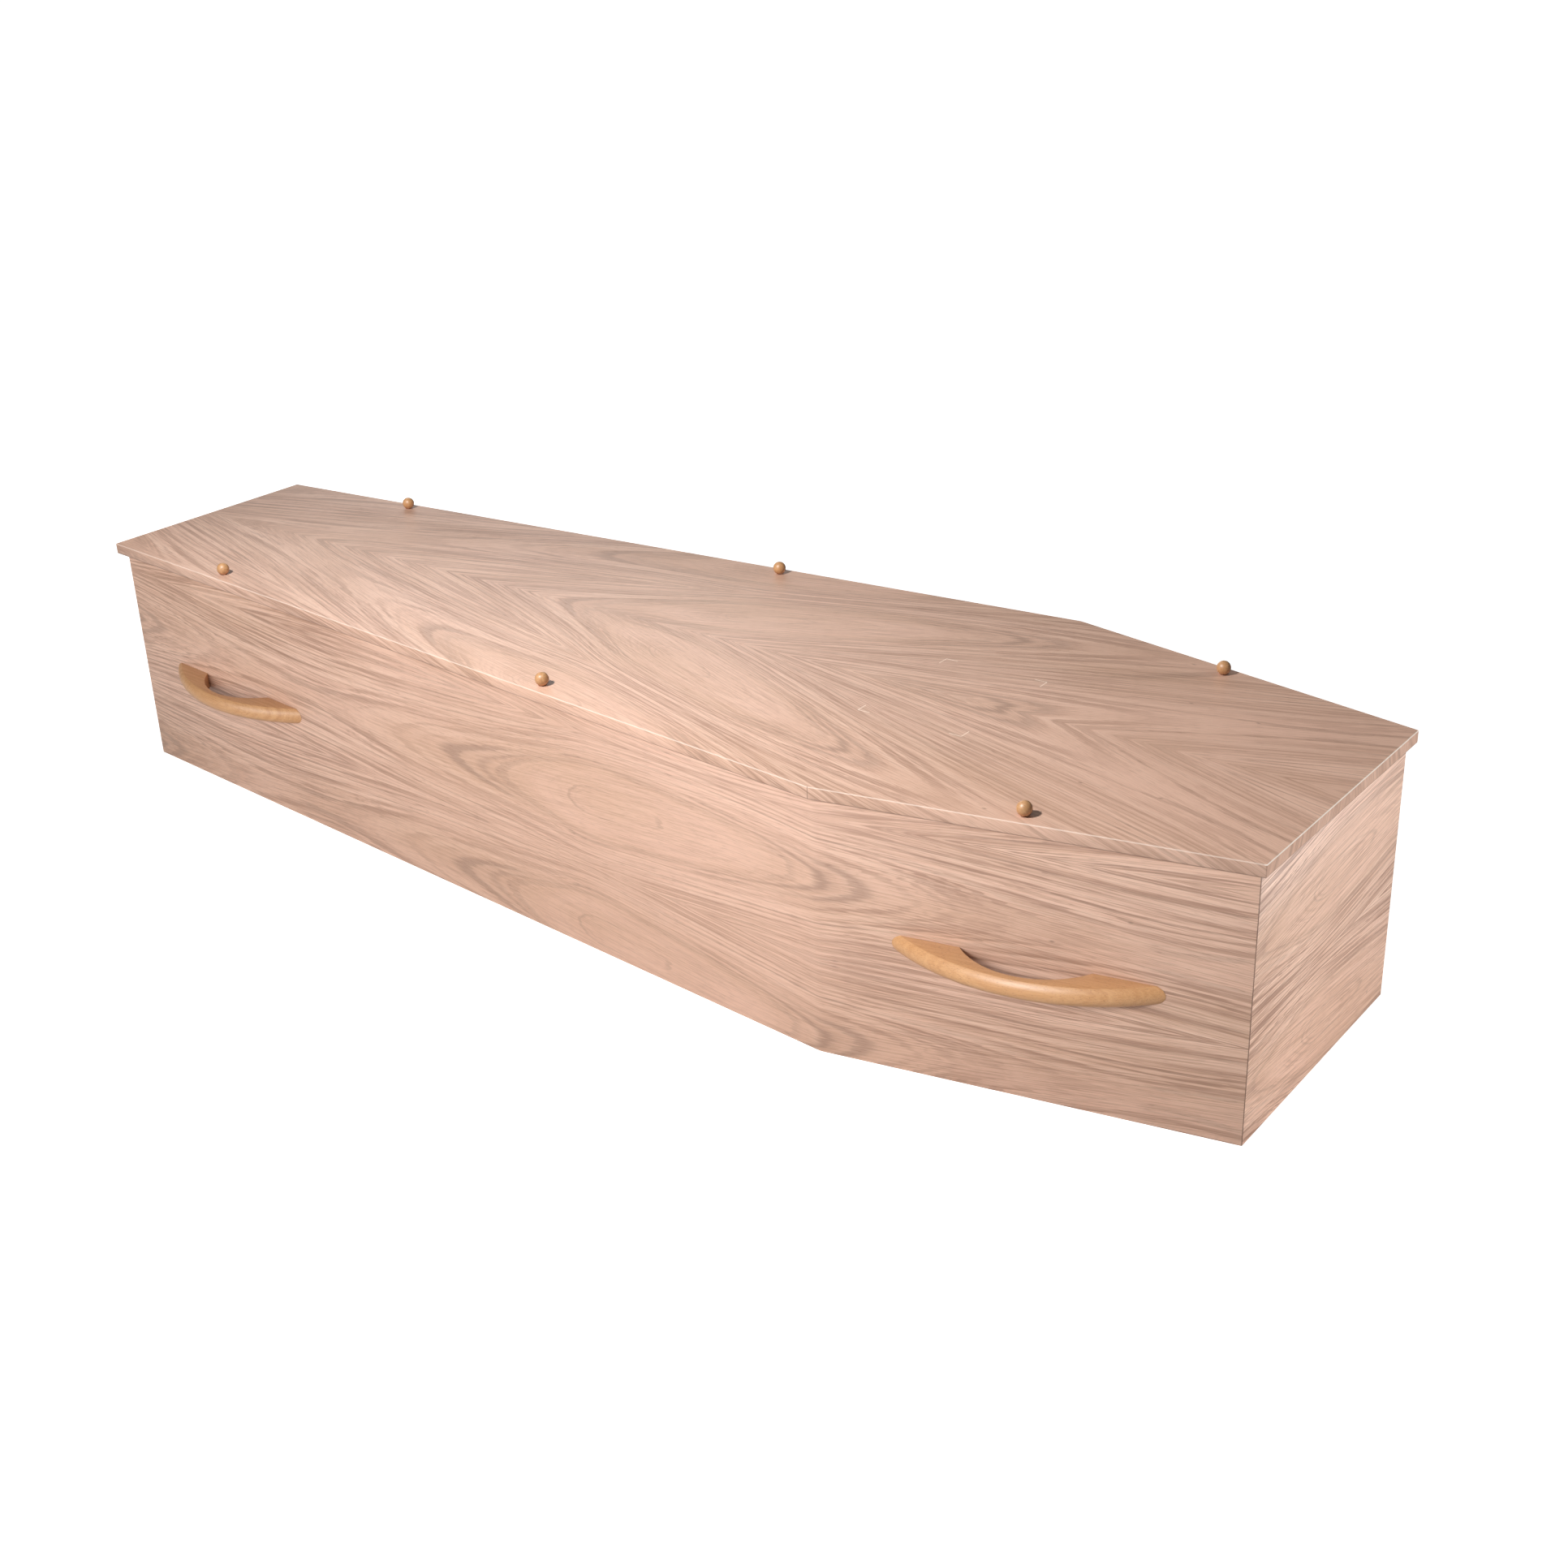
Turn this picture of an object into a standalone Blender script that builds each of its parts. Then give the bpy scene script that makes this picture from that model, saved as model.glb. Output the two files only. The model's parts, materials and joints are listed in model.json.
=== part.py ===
"""Wooden coffin with a flat lid, six ball knobs and four bow handles.

The length runs along X with the head end at +X, Y runs across and +Z is up.
The origin is on the floor, under the middle of the lid. All sizes are in metres.
"""
import math

import bpy
from mathutils import Matrix, Vector, geometry

# Lid: a flat board with six straight edges, widest at the shoulders
LID_LENGTH = 1.930
LID_FOOT_WIDTH = 0.364
LID_SHOULDER_WIDTH = 0.617
LID_HEAD_WIDTH = 0.406
SHOULDER_FROM_FOOT = 1.425
LID_THICKNESS = 0.016
LID_EDGE_RADIUS = 0.0015

# How far the lid reaches past the body on each edge
SIDE_OVERHANG = 0.011
FOOT_OVERHANG = 0.014
HEAD_OVERHANG = 0.009

# Body: upright boards round a base board that is let in between them
BODY_HEIGHT = 0.338
WALL_THICKNESS = 0.016
BASE_THICKNESS = 0.016
SHOULDER_BEND_RADIUS = 0.040

# Bow handle, cut from a disc whose rim is rounded
HANDLE_LENGTH = 0.300
HANDLE_REACH = 0.046
HANDLE_HEIGHT = 0.023
HANDLE_BULGE = 0.006
HANDLE_FOOT_LENGTH = 0.072
HANDLE_BAR_DEPTH = 0.008
HANDLE_FROM_END = 0.253

# Ball knob over each lid screw, with a small flat seat
KNOB_DIAMETER = 0.018
KNOB_SEAT_DIAMETER = 0.008
KNOB_FROM_END = 0.265

# Room between pieces that touch
JOINT_GAP = 0.0003

# How finely round shapes are cut into flat facets
BEND_STEPS = 6
EDGE_STEPS = 2
HANDLE_TURN_STEPS = 180
HANDLE_RIM_STEPS = 8
KNOB_TURN_STEPS = 24
KNOB_PROFILE_STEPS = 10
MERGE_DISTANCE = 0.00005

# Sides of the coffin, seen by someone who looks from the foot to the head
LEFT = 1
RIGHT = -1

WOOD_COLOUR = (0.71, 0.47, 0.37, 1.0)
WOOD_ROUGHNESS = 0.45
HANDLE_COLOUR = (0.72, 0.42, 0.22, 1.0)
HANDLE_ROUGHNESS = 0.35


def clear_scene():
    """Remove every object, so that the model starts from nothing."""
    for thing in list(bpy.data.objects):
        bpy.data.objects.remove(thing)


def new_collection(name):
    """Add an empty collection to the scene."""
    collection = bpy.data.collections.new(name)
    bpy.context.scene.collection.children.link(collection)
    return collection


def new_material(name, colour, roughness):
    """Make a plain, non-metallic material."""
    material = bpy.data.materials.new(name)
    material.use_nodes = True
    shader = material.node_tree.nodes["Principled BSDF"]
    shader.inputs["Base Color"].default_value = colour
    shader.inputs["Roughness"].default_value = roughness
    shader.inputs["Metallic"].default_value = 0.0
    return material


def edge_moved_in(start, end, inset):
    """Two points of the edge from start to end, moved towards the centre line by the inset."""
    along = (end - start).normalized()
    inward = Vector((along.y, -along.x, 0.0))
    return start + inward * inset, end + inward * inset


def crossing(first_edge, second_edge):
    """The point where two edges meet when they are made longer."""
    return geometry.intersect_line_line(*first_edge, *second_edge)[0]


def half_corners(side_inset, foot_inset, head_inset):
    """Foot, shoulder and head corners of the left half, with the lid's edges moved in."""
    foot_x = -LID_LENGTH / 2
    head_x = LID_LENGTH / 2
    foot = Vector((foot_x, LID_FOOT_WIDTH / 2, 0.0))
    shoulder = Vector((foot_x + SHOULDER_FROM_FOOT, LID_SHOULDER_WIDTH / 2, 0.0))
    head = Vector((head_x, LID_HEAD_WIDTH / 2, 0.0))
    foot_edge = edge_moved_in(Vector((foot_x, 0.0, 0.0)), foot, foot_inset)
    long_edge = edge_moved_in(foot, shoulder, side_inset)
    short_edge = edge_moved_in(shoulder, head, side_inset)
    head_edge = edge_moved_in(head, Vector((head_x, 0.0, 0.0)), head_inset)
    return crossing(foot_edge, long_edge), crossing(long_edge, short_edge), crossing(short_edge, head_edge)


def body_corners(depth):
    """Corners of the left half of the body, this deep inside its outer faces."""
    return half_corners(SIDE_OVERHANG + depth, FOOT_OVERHANG + depth, HEAD_OVERHANG + depth)


def shoulder_bend(depth):
    """Arc points, from foot to head, where a side board bends, this deep inside its outer face."""
    foot, shoulder, head = body_corners(depth)
    radius = SHOULDER_BEND_RADIUS - depth
    back = (foot - shoulder).normalized()
    ahead = (head - shoulder).normalized()
    half_angle = back.angle(ahead) / 2
    centre = shoulder + (back + ahead).normalized() * radius / math.sin(half_angle)
    first = shoulder + back * radius / math.tan(half_angle) - centre
    turn = math.pi - 2 * half_angle
    return [
        centre + Matrix.Rotation(-turn * step / BEND_STEPS, 3, "Z") @ first
        for step in range(BEND_STEPS + 1)
    ]


def both_halves(points):
    """Close an outline from its left half, which runs from foot to head."""
    return points + [mirrored(point, RIGHT) for point in reversed(points)]


def mirrored(point, side):
    """The point on the named side, for a point of the left half."""
    return Vector((point.x, point.y * side, point.z))


def add_plate(name, points, bottom, thickness, material, collection, parent):
    """A flat plate with the outline of these points, standing on the height of its bottom."""
    curve = bpy.data.curves.new(name, "CURVE")
    curve.dimensions = "2D"
    curve.fill_mode = "BOTH"
    curve.extrude = thickness / 2
    spline = curve.splines.new("POLY")
    spline.points.add(len(points) - 1)
    for target, point in zip(spline.points, points):
        target.co = (point.x, point.y, 0.0, 1.0)
    spline.use_cyclic_u = True
    curve.materials.append(material)
    plate = bpy.data.objects.new(name, curve)
    plate.location.z = bottom + thickness / 2
    collection.objects.link(plate)
    plate.parent = parent
    return plate


def add_lid(material, collection, parent):
    """The lid, which rests on the body's walls and reaches past them."""
    outline = both_halves(list(half_corners(0.0, 0.0, 0.0)))
    bottom = BODY_HEIGHT + JOINT_GAP
    lid = add_plate("lid", outline, bottom, LID_THICKNESS, material, collection, parent)
    weld = lid.modifiers.new("joined_faces", "WELD")
    weld.merge_threshold = MERGE_DISTANCE
    rounding = lid.modifiers.new("rounded_edges", "BEVEL")
    rounding.width = LID_EDGE_RADIUS
    rounding.segments = EDGE_STEPS
    return lid


def add_base(material, collection, parent):
    """The base board, let in between the walls."""
    depth = WALL_THICKNESS + JOINT_GAP
    foot, _, head = body_corners(depth)
    outline = both_halves([foot, *shoulder_bend(depth), head])
    return add_plate("base_board", outline, 0.0, BASE_THICKNESS, material, collection, parent)


def mitre_room(corner, inner_corner, along):
    """How far a board draws back along itself, so that its mitre leaves half of the gap."""
    mitre_angle = (inner_corner - corner).angle(along)
    return JOINT_GAP / 2 / math.sin(mitre_angle)


def add_side_board(name, side, material, collection, parent):
    """One side of the body: a single board, bent at the shoulder and mitred at both ends."""
    foot, shoulder, head = body_corners(0.0)
    inner_foot, _, inner_head = body_corners(WALL_THICKNESS)
    from_foot = (shoulder - foot).normalized()
    from_head = (shoulder - head).normalized()
    foot_room = from_foot * mitre_room(foot, inner_foot, from_foot)
    head_room = from_head * mitre_room(head, inner_head, from_head)
    outside = [foot + foot_room, *shoulder_bend(0.0), head + head_room]
    inside = [inner_foot + foot_room, *shoulder_bend(WALL_THICKNESS), inner_head + head_room]
    outline = [mirrored(point, side) for point in outside + inside[::-1]]
    return add_plate(name, outline, 0.0, BODY_HEIGHT, material, collection, parent)


def add_end_board(name, corner, inner_corner, material, collection, parent):
    """An end of the body: a straight board, mitred into both sides."""
    inward = Vector((0.0, -1.0, 0.0))
    room = inward * mitre_room(corner, inner_corner, inward)
    outer = corner + room
    inner = inner_corner + room
    outline = [outer, mirrored(outer, RIGHT), mirrored(inner, RIGHT), inner]
    return add_plate(name, outline, 0.0, BODY_HEIGHT, material, collection, parent)


def arc_radius(chord, rise):
    """Radius of the arc over a chord that rises this far above it."""
    return ((chord / 2) ** 2 + rise ** 2) / (2 * rise)


def arc_profile(centre, radius, from_angle, to_angle, steps):
    """Points of an arc in the XZ plane, from one angle to the other."""
    turn = (to_angle - from_angle) / steps
    angles = [from_angle + turn * step for step in range(steps + 1)]
    return [centre + Vector((math.cos(angle), 0.0, math.sin(angle))) * radius for angle in angles]


def profile_mesh(name, points, material):
    """A mesh that is only the line through these points, for a shape turned about Z."""
    mesh = bpy.data.meshes.new(name)
    edges = [(index, index + 1) for index in range(len(points) - 1)]
    mesh.from_pydata(points, edges, [])
    mesh.materials.append(material)
    return mesh


def turn_profile(thing, steps):
    """Turn the object's profile about its Z axis into a closed, smooth shape."""
    screw = thing.modifiers.new("turned", "SCREW")
    screw.steps = steps
    screw.render_steps = steps
    screw.use_merge_vertices = True
    screw.merge_threshold = MERGE_DISTANCE
    screw.use_smooth_shade = True


def handle_disc_profile():
    """Half section of the disc: flat top, rounded rim, flat underside."""
    disc_radius = arc_radius(HANDLE_LENGTH, HANDLE_REACH)
    rim_radius = arc_radius(HANDLE_HEIGHT, HANDLE_BULGE)
    rim_centre = Vector((disc_radius + HANDLE_BULGE - rim_radius, 0.0, 0.0))
    rim_angle = math.asin(HANDLE_HEIGHT / 2 / rim_radius)
    rim = arc_profile(rim_centre, rim_radius, rim_angle, -rim_angle, HANDLE_RIM_STEPS)
    top = Vector((0.0, 0.0, HANDLE_HEIGHT / 2))
    return [top, *rim, -top]


def add_cutter(name, collection, parent):
    """Turn the mesh that was just added into a hidden cutter that moves with its parent."""
    cutter = bpy.context.active_object
    cutter.name = name
    cutter.display_type = "WIRE"
    cutter.hide_render = True
    for home in list(cutter.users_collection):
        home.objects.unlink(cutter)
    collection.objects.link(cutter)
    cutter.parent = parent
    return cutter


def add_handle_room(name, collection, mount):
    """The block of space in front of the wall, which the handle fills."""
    width = HANDLE_LENGTH * 2
    depth = HANDLE_REACH * 2
    height = HANDLE_HEIGHT * 2
    bpy.ops.mesh.primitive_cube_add(size=1, location=(0.0, JOINT_GAP + depth / 2, 0.0))
    bpy.context.active_object.scale = (width, depth, height)
    return add_cutter(name, collection, mount)


def add_finger_gap(name, collection, mount):
    """The round space behind the bar, for the fingers."""
    gap_width = HANDLE_LENGTH - 2 * HANDLE_FOOT_LENGTH
    gap_depth = HANDLE_REACH - HANDLE_BAR_DEPTH
    radius = arc_radius(gap_width, gap_depth)
    bpy.ops.mesh.primitive_cylinder_add(
        vertices=HANDLE_TURN_STEPS // 2,
        radius=radius,
        depth=HANDLE_HEIGHT * 2,
        location=(0.0, gap_depth - radius, 0.0),
    )
    return add_cutter(name, collection, mount)


def add_handle(name, place, outward, material, parts, cutters, parent):
    """A bow handle whose two feet stand on the wall, with its bar held away from it."""
    mount = bpy.data.objects.new(name + "_place", None)
    parts.objects.link(mount)
    mount.parent = parent
    mount.location = place
    mount.rotation_euler.z = math.atan2(outward.y, outward.x) - math.pi / 2
    handle = bpy.data.objects.new(name, profile_mesh(name, handle_disc_profile(), material))
    parts.objects.link(handle)
    handle.parent = mount
    handle.location.y = HANDLE_REACH - arc_radius(HANDLE_LENGTH, HANDLE_REACH)
    turn_profile(handle, HANDLE_TURN_STEPS)
    front = handle.modifiers.new("in_front_of_wall", "BOOLEAN")
    front.operation = "INTERSECT"
    front.object = add_handle_room(name + "_room", cutters, mount)
    gap = handle.modifiers.new("finger_gap", "BOOLEAN")
    gap.operation = "DIFFERENCE"
    gap.object = add_finger_gap(name + "_gap", cutters, mount)
    return handle


def add_side_handles(side_name, side, material, parts, cutters, parent):
    """The two handles of one side, each as far from its end of the body."""
    foot, shoulder, head = [mirrored(corner, side) for corner in body_corners(0.0)]
    middle_height = Vector((0.0, 0.0, BODY_HEIGHT / 2))
    for end_name, corner in (("foot", foot), ("head", head)):
        along = (shoulder - corner).normalized()
        outward = Vector((-along.y, along.x, 0.0))
        if outward.y * side < 0:
            outward = -outward
        place = corner + along * HANDLE_FROM_END + middle_height
        add_handle(f"handle_{side_name}_{end_name}", place, outward, material, parts, cutters, parent)


def knob_profile():
    """Half section of the ball, from its top down to its flat seat."""
    radius = KNOB_DIAMETER / 2
    seat_angle = math.acos(KNOB_SEAT_DIAMETER / KNOB_DIAMETER)
    centre = Vector((0.0, 0.0, radius * math.sin(seat_angle)))
    side = arc_profile(centre, radius, math.pi / 2, -seat_angle, KNOB_PROFILE_STEPS)
    side[0].x = 0.0
    return [*side, Vector((0.0, 0.0, 0.0))]


def wall_middle(x, side):
    """The point over the middle of a side board's thickness, this far along the length."""
    foot, shoulder, head = body_corners(WALL_THICKNESS / 2)
    start, end = (foot, shoulder) if x < shoulder.x else (shoulder, head)
    share = (x - start.x) / (end.x - start.x)
    return mirrored(start.lerp(end, share), side)


def add_side_knobs(side_name, side, material, collection, parent):
    """The three knobs of one side, in a row over the middle of the side board."""
    lid_top = BODY_HEIGHT + JOINT_GAP + LID_THICKNESS
    end_x = LID_LENGTH / 2 - KNOB_FROM_END
    for place_name, x in (("foot", -end_x), ("middle", 0.0), ("head", end_x)):
        name = f"lid_knob_{side_name}_{place_name}"
        knob = bpy.data.objects.new(name, profile_mesh(name, knob_profile(), material))
        collection.objects.link(knob)
        knob.parent = parent
        knob.location = wall_middle(x, side) + Vector((0.0, 0.0, lid_top + JOINT_GAP))
        turn_profile(knob, KNOB_TURN_STEPS)


def build_coffin():
    """Make every piece of the coffin under one empty."""
    clear_scene()
    parts = new_collection("coffin")
    cutters = new_collection("coffin_cutters")
    coffin = bpy.data.objects.new("coffin", None)
    parts.objects.link(coffin)
    wood = new_material("veneered_board", WOOD_COLOUR, WOOD_ROUGHNESS)
    beech = new_material("turned_beech", HANDLE_COLOUR, HANDLE_ROUGHNESS)

    add_lid(wood, parts, coffin)
    add_base(wood, parts, coffin)
    foot, _, head = body_corners(0.0)
    inner_foot, _, inner_head = body_corners(WALL_THICKNESS)
    add_end_board("foot_end_board", foot, inner_foot, wood, parts, coffin)
    add_end_board("head_end_board", head, inner_head, wood, parts, coffin)
    for side_name, side in (("left", LEFT), ("right", RIGHT)):
        add_side_board(f"{side_name}_side_board", side, wood, parts, coffin)
        add_side_handles(side_name, side, beech, parts, cutters, coffin)
        add_side_knobs(side_name, side, beech, parts, coffin)


build_coffin()
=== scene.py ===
# %% [markdown]
# A wooden coffin, dressed over its frame. The frame holds the plain solids at their real size.
# This lesson models each board but the base, and each handle and knob, again with softened edges,
# and gives the wood its figure with nodes. Everything is in metres. The length runs along X with the
# head end at +X, the shown side is at -Y, and the floor is at height zero.

# %% Load the frame
import json
import math

import bmesh
import bpy
from mathutils import Matrix, Vector, geometry

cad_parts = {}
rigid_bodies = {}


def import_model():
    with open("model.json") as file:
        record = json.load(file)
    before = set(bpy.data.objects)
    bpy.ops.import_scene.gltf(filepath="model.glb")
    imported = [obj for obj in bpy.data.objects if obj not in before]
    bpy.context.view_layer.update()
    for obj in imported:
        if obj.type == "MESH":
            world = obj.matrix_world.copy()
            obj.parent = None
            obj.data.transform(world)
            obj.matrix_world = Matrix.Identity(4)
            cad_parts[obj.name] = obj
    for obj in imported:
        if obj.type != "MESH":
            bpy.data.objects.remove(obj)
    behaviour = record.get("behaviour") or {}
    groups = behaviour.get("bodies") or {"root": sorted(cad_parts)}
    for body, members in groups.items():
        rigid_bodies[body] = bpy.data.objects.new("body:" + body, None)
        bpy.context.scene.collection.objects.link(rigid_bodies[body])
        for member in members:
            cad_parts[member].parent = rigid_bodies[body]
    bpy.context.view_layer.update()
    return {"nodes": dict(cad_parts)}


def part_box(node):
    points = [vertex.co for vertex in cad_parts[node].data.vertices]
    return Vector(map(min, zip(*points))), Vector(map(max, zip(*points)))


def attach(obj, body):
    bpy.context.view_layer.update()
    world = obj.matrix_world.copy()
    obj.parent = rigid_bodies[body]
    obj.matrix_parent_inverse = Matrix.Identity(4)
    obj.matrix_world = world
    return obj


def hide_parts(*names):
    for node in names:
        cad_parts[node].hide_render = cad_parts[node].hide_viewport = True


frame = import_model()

print("frame nodes:", len(frame["nodes"]))

# %% [markdown]
# A coffin is set out from the lid: six straight edges, widest at the shoulders, with the body drawn
# a little inside them. The overall sizes are read from the frame's boxes, so that the dressed pieces
# land on the solids. The few sizes that a box can't tell are named here.

# %% Set out the coffin
LID_FOOT_WIDTH = 0.364
LID_HEAD_WIDTH = 0.406
SHOULDER_FROM_FOOT = 1.425
SIDE_OVERHANG = 0.011
FOOT_OVERHANG = 0.014
HEAD_OVERHANG = 0.009
WALL_THICKNESS = 0.016
SHOULDER_BEND_RADIUS = 0.040
HANDLE_FROM_END = 0.253
JOINT_GAP = 0.0003
RIGHT = -1
LEFT = 1

lid_low, lid_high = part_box("lid")
LID_SHOULDER_WIDTH = lid_high.y - lid_low.y
LID_THICKNESS = lid_high.z - lid_low.z
BODY_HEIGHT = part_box("right_side_board")[1].z
shoulder_x = lid_low.x + SHOULDER_FROM_FOOT
print("lid length", round(lid_high.x - lid_low.x, 4), "body height", round(BODY_HEIGHT, 4))

# %% Find the corners of the left half at any inset
def edge_moved_in(start, end, inset):
    """Two points of the edge from start to end, moved towards the centre line."""
    along = (end - start).normalized()
    inward = Vector((along.y, -along.x, 0.0))
    return start + inward * inset, end + inward * inset


def half_corners(side_inset, foot_inset, head_inset):
    """Foot, shoulder and head corners of the left half, with the lid's edges moved in."""
    foot = Vector((lid_low.x, LID_FOOT_WIDTH / 2, 0.0))
    shoulder = Vector((shoulder_x, LID_SHOULDER_WIDTH / 2, 0.0))
    head = Vector((lid_high.x, LID_HEAD_WIDTH / 2, 0.0))
    foot_edge = edge_moved_in(Vector((lid_low.x, 0.0, 0.0)), foot, foot_inset)
    long_edge = edge_moved_in(foot, shoulder, side_inset)
    short_edge = edge_moved_in(shoulder, head, side_inset)
    head_edge = edge_moved_in(head, Vector((lid_high.x, 0.0, 0.0)), head_inset)
    pairs = ((foot_edge, long_edge), (long_edge, short_edge), (short_edge, head_edge))
    return [geometry.intersect_line_line(*first, *second)[0] for first, second in pairs]


def body_corners(depth):
    """Corners of the left half of the body, this deep inside its outer faces."""
    return half_corners(SIDE_OVERHANG + depth, FOOT_OVERHANG + depth, HEAD_OVERHANG + depth)


outer_foot, outer_shoulder, outer_head = body_corners(0.0)
inner_foot, inner_shoulder, inner_head = body_corners(WALL_THICKNESS)
print("body corners", [tuple(round(value, 4) for value in corner) for corner in body_corners(0.0)])

# %% [markdown]
# The camera stands where the photographer stood: near the head end, a little above the lid, looking
# down along the box. Its place, direction and lens were worked out from the coffin's straight edges.
# The picture's horizon leans by two degrees, so the camera is rolled as much.

# %% Set up the camera
CAMERA_PLACE = Vector((1.7137, -1.9600, 1.3307))
CAMERA_TARGET = Vector((0.2059, -0.0237, 0.1800))
CAMERA_ROLL = math.radians(-2.09)
CAMERA_LENS = 47.05
CAMERA_SENSOR = 36.0
CAMERA_FAR_LIMIT = 200.0


def add_camera():
    """A camera at the photographer's place, without shift or blur."""
    camera_data = bpy.data.cameras.new("photo_camera")
    camera_data.lens = CAMERA_LENS
    camera_data.sensor_width = CAMERA_SENSOR
    camera_data.clip_end = CAMERA_FAR_LIMIT
    camera = bpy.data.objects.new("photo_camera", camera_data)
    bpy.context.scene.collection.objects.link(camera)
    turn = (CAMERA_TARGET - CAMERA_PLACE).to_track_quat("-Z", "Y").to_matrix()
    roll = Matrix.Rotation(CAMERA_ROLL, 3, "Z")
    camera.matrix_world = Matrix.Translation(CAMERA_PLACE) @ (turn @ roll).to_4x4()
    bpy.context.scene.camera = camera
    return camera


camera = add_camera()
print("camera at", tuple(round(value, 3) for value in camera.matrix_world.translation))

# %% [markdown]
# Modelling by hand in code needs a few small helpers: one that starts from a clean selection, one
# that picks faces by a rule, and one that applies a modifier. An operator works on all that is
# selected, so each step first picks exactly what it means to change.

# %% Helpers for modelling
SMOOTH_BELOW = math.radians(40)


def select_only(piece):
    """Leave edit mode and make this piece the only selected one."""
    if bpy.context.object and bpy.context.object.mode != "OBJECT":
        bpy.ops.object.mode_set(mode="OBJECT")
    bpy.ops.object.select_all(action="DESELECT")
    piece.select_set(True)
    bpy.context.view_layer.objects.active = piece


def deselect_everything():
    """Clear the selection before a primitive is added."""
    bpy.ops.object.select_all(action="DESELECT")


def name_new_piece(name):
    """Name the primitive that was just added, and put its size and turn into its mesh."""
    piece = bpy.context.active_object
    piece.name = name
    piece.data.name = name
    bpy.ops.object.transform_apply(location=True, rotation=True, scale=True)
    return piece


def start_editing(piece, kind="VERT"):
    """Go into edit mode with nothing selected."""
    select_only(piece)
    bpy.ops.object.mode_set(mode="EDIT")
    bpy.ops.mesh.select_mode(type=kind)
    bpy.ops.mesh.select_all(action="DESELECT")


def stop_editing():
    """Go back to object mode."""
    bpy.ops.object.mode_set(mode="OBJECT")


def pick(piece, kind, rule):
    """Select exactly the vertices, edges or faces that the rule accepts."""
    shape = bmesh.from_edit_mesh(piece.data)
    parts = {"VERT": shape.verts, "EDGE": shape.edges, "FACE": shape.faces}[kind]
    bpy.ops.mesh.select_mode(type=kind)
    bpy.ops.mesh.select_all(action="DESELECT")
    chosen = [part for part in parts if rule(part)]
    for part in chosen:
        part.select_set(True)
    bmesh.update_edit_mesh(piece.data)
    return len(chosen)


def cut_away(piece, place, outward):
    """Cut off what lies beyond a plane and close the cut."""
    start_editing(piece)
    bpy.ops.mesh.select_all(action="SELECT")
    bpy.ops.mesh.bisect(plane_co=place, plane_no=outward, use_fill=True, clear_outer=True)
    stop_editing()


def shade_smooth(piece):
    """Shade the gentle bends smooth and leave the sharp edges sharp."""
    select_only(piece)
    bpy.ops.object.shade_smooth_by_angle(angle=SMOOTH_BELOW)


def soften_edges(piece, width, segments, angle):
    """Round every edge that is sharper than the angle, and shade the rest smooth."""
    select_only(piece)
    rounding = piece.modifiers.new("softened_edges", "BEVEL")
    rounding.width = width
    rounding.segments = segments
    rounding.limit_method = "ANGLE"
    rounding.angle_limit = angle
    bpy.ops.object.modifier_apply(modifier=rounding.name)
    shade_smooth(piece)


def turn_faces_outward(piece):
    """Merge doubled vertices and make all faces look outward."""
    start_editing(piece)
    bpy.ops.mesh.select_all(action="SELECT")
    bpy.ops.mesh.remove_doubles(threshold=0.00001)
    bpy.ops.mesh.normals_make_consistent(inside=False)
    stop_editing()


def copy_piece(piece, name, placing):
    """A copy with its own mesh, placed by a matrix that goes into the mesh."""
    mesh = piece.data.copy()
    mesh.name = name
    mesh.transform(placing)
    if placing.determinant() < 0:
        mesh.flip_normals()
    copy = bpy.data.objects.new(name, mesh)
    bpy.context.scene.collection.objects.link(copy)
    return copy


def store_grain(piece, place_of):
    """Keep for each face corner where it lies in the wood: along, across and into the grain."""
    mesh = piece.data
    attribute = mesh.attributes.new("grain_place", "FLOAT_VECTOR", "CORNER")
    for face in mesh.polygons:
        for loop_index in face.loop_indices:
            corner = mesh.vertices[mesh.loops[loop_index].vertex_index].co
            attribute.data[loop_index].vector = place_of(corner, face.normal)


print("helpers ready")

# %% [markdown]
# The lid is one flat board under a printed foil. By hand it starts as a box of the full length and
# width. A cut across the shoulders gives it a middle line, and its two ends are then drawn in to
# their own widths. The rims are rounded by about a millimetre, and that edge catches the light.
# The foil wraps over the rims, so the grain on the narrow faces goes on from the grain on top.

# %% Model the lid
LID_RIM_RADIUS = 0.0012
RIM_SEGMENTS = 3
SHARP_EDGE = math.radians(30)
NEAR = 0.001
FACING = 0.9


def model_lid():
    """The lid board with its six edges and rounded rims."""
    centre = (lid_low + lid_high) / 2
    size = lid_high - lid_low
    deselect_everything()
    bpy.ops.mesh.primitive_cube_add(size=1, location=centre, scale=size)
    lid = name_new_piece("lid_board")
    start_editing(lid)
    bpy.ops.mesh.select_all(action="SELECT")
    bpy.ops.mesh.bisect(plane_co=(shoulder_x, 0, 0), plane_no=(1, 0, 0))
    for end_x, end_width in ((lid_low.x, LID_FOOT_WIDTH), (lid_high.x, LID_HEAD_WIDTH)):
        pick(lid, "VERT", lambda corner: abs(corner.co.x - end_x) < NEAR)
        share = end_width / LID_SHOULDER_WIDTH
        bpy.ops.transform.resize(value=(1, share, 1), center_override=(end_x, 0, centre.z))
    stop_editing()
    soften_edges(lid, LID_RIM_RADIUS, RIM_SEGMENTS, SHARP_EDGE)
    return lid


def lid_grain(corner, normal):
    """The foil lies flat on top and folds down over the edges."""
    drop = max(0.0, lid_high.z - corner.z)
    along = corner.x
    across = abs(corner.y)
    if abs(normal.x) > FACING:
        along += math.copysign(drop, corner.x)
    elif normal.z < FACING:
        across += drop
    return along, math.copysign(across, corner.y), drop


lid = model_lid()
store_grain(lid, lid_grain)
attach(lid, "root")
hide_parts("lid")
print("lid faces", len(lid.data.polygons))

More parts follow.
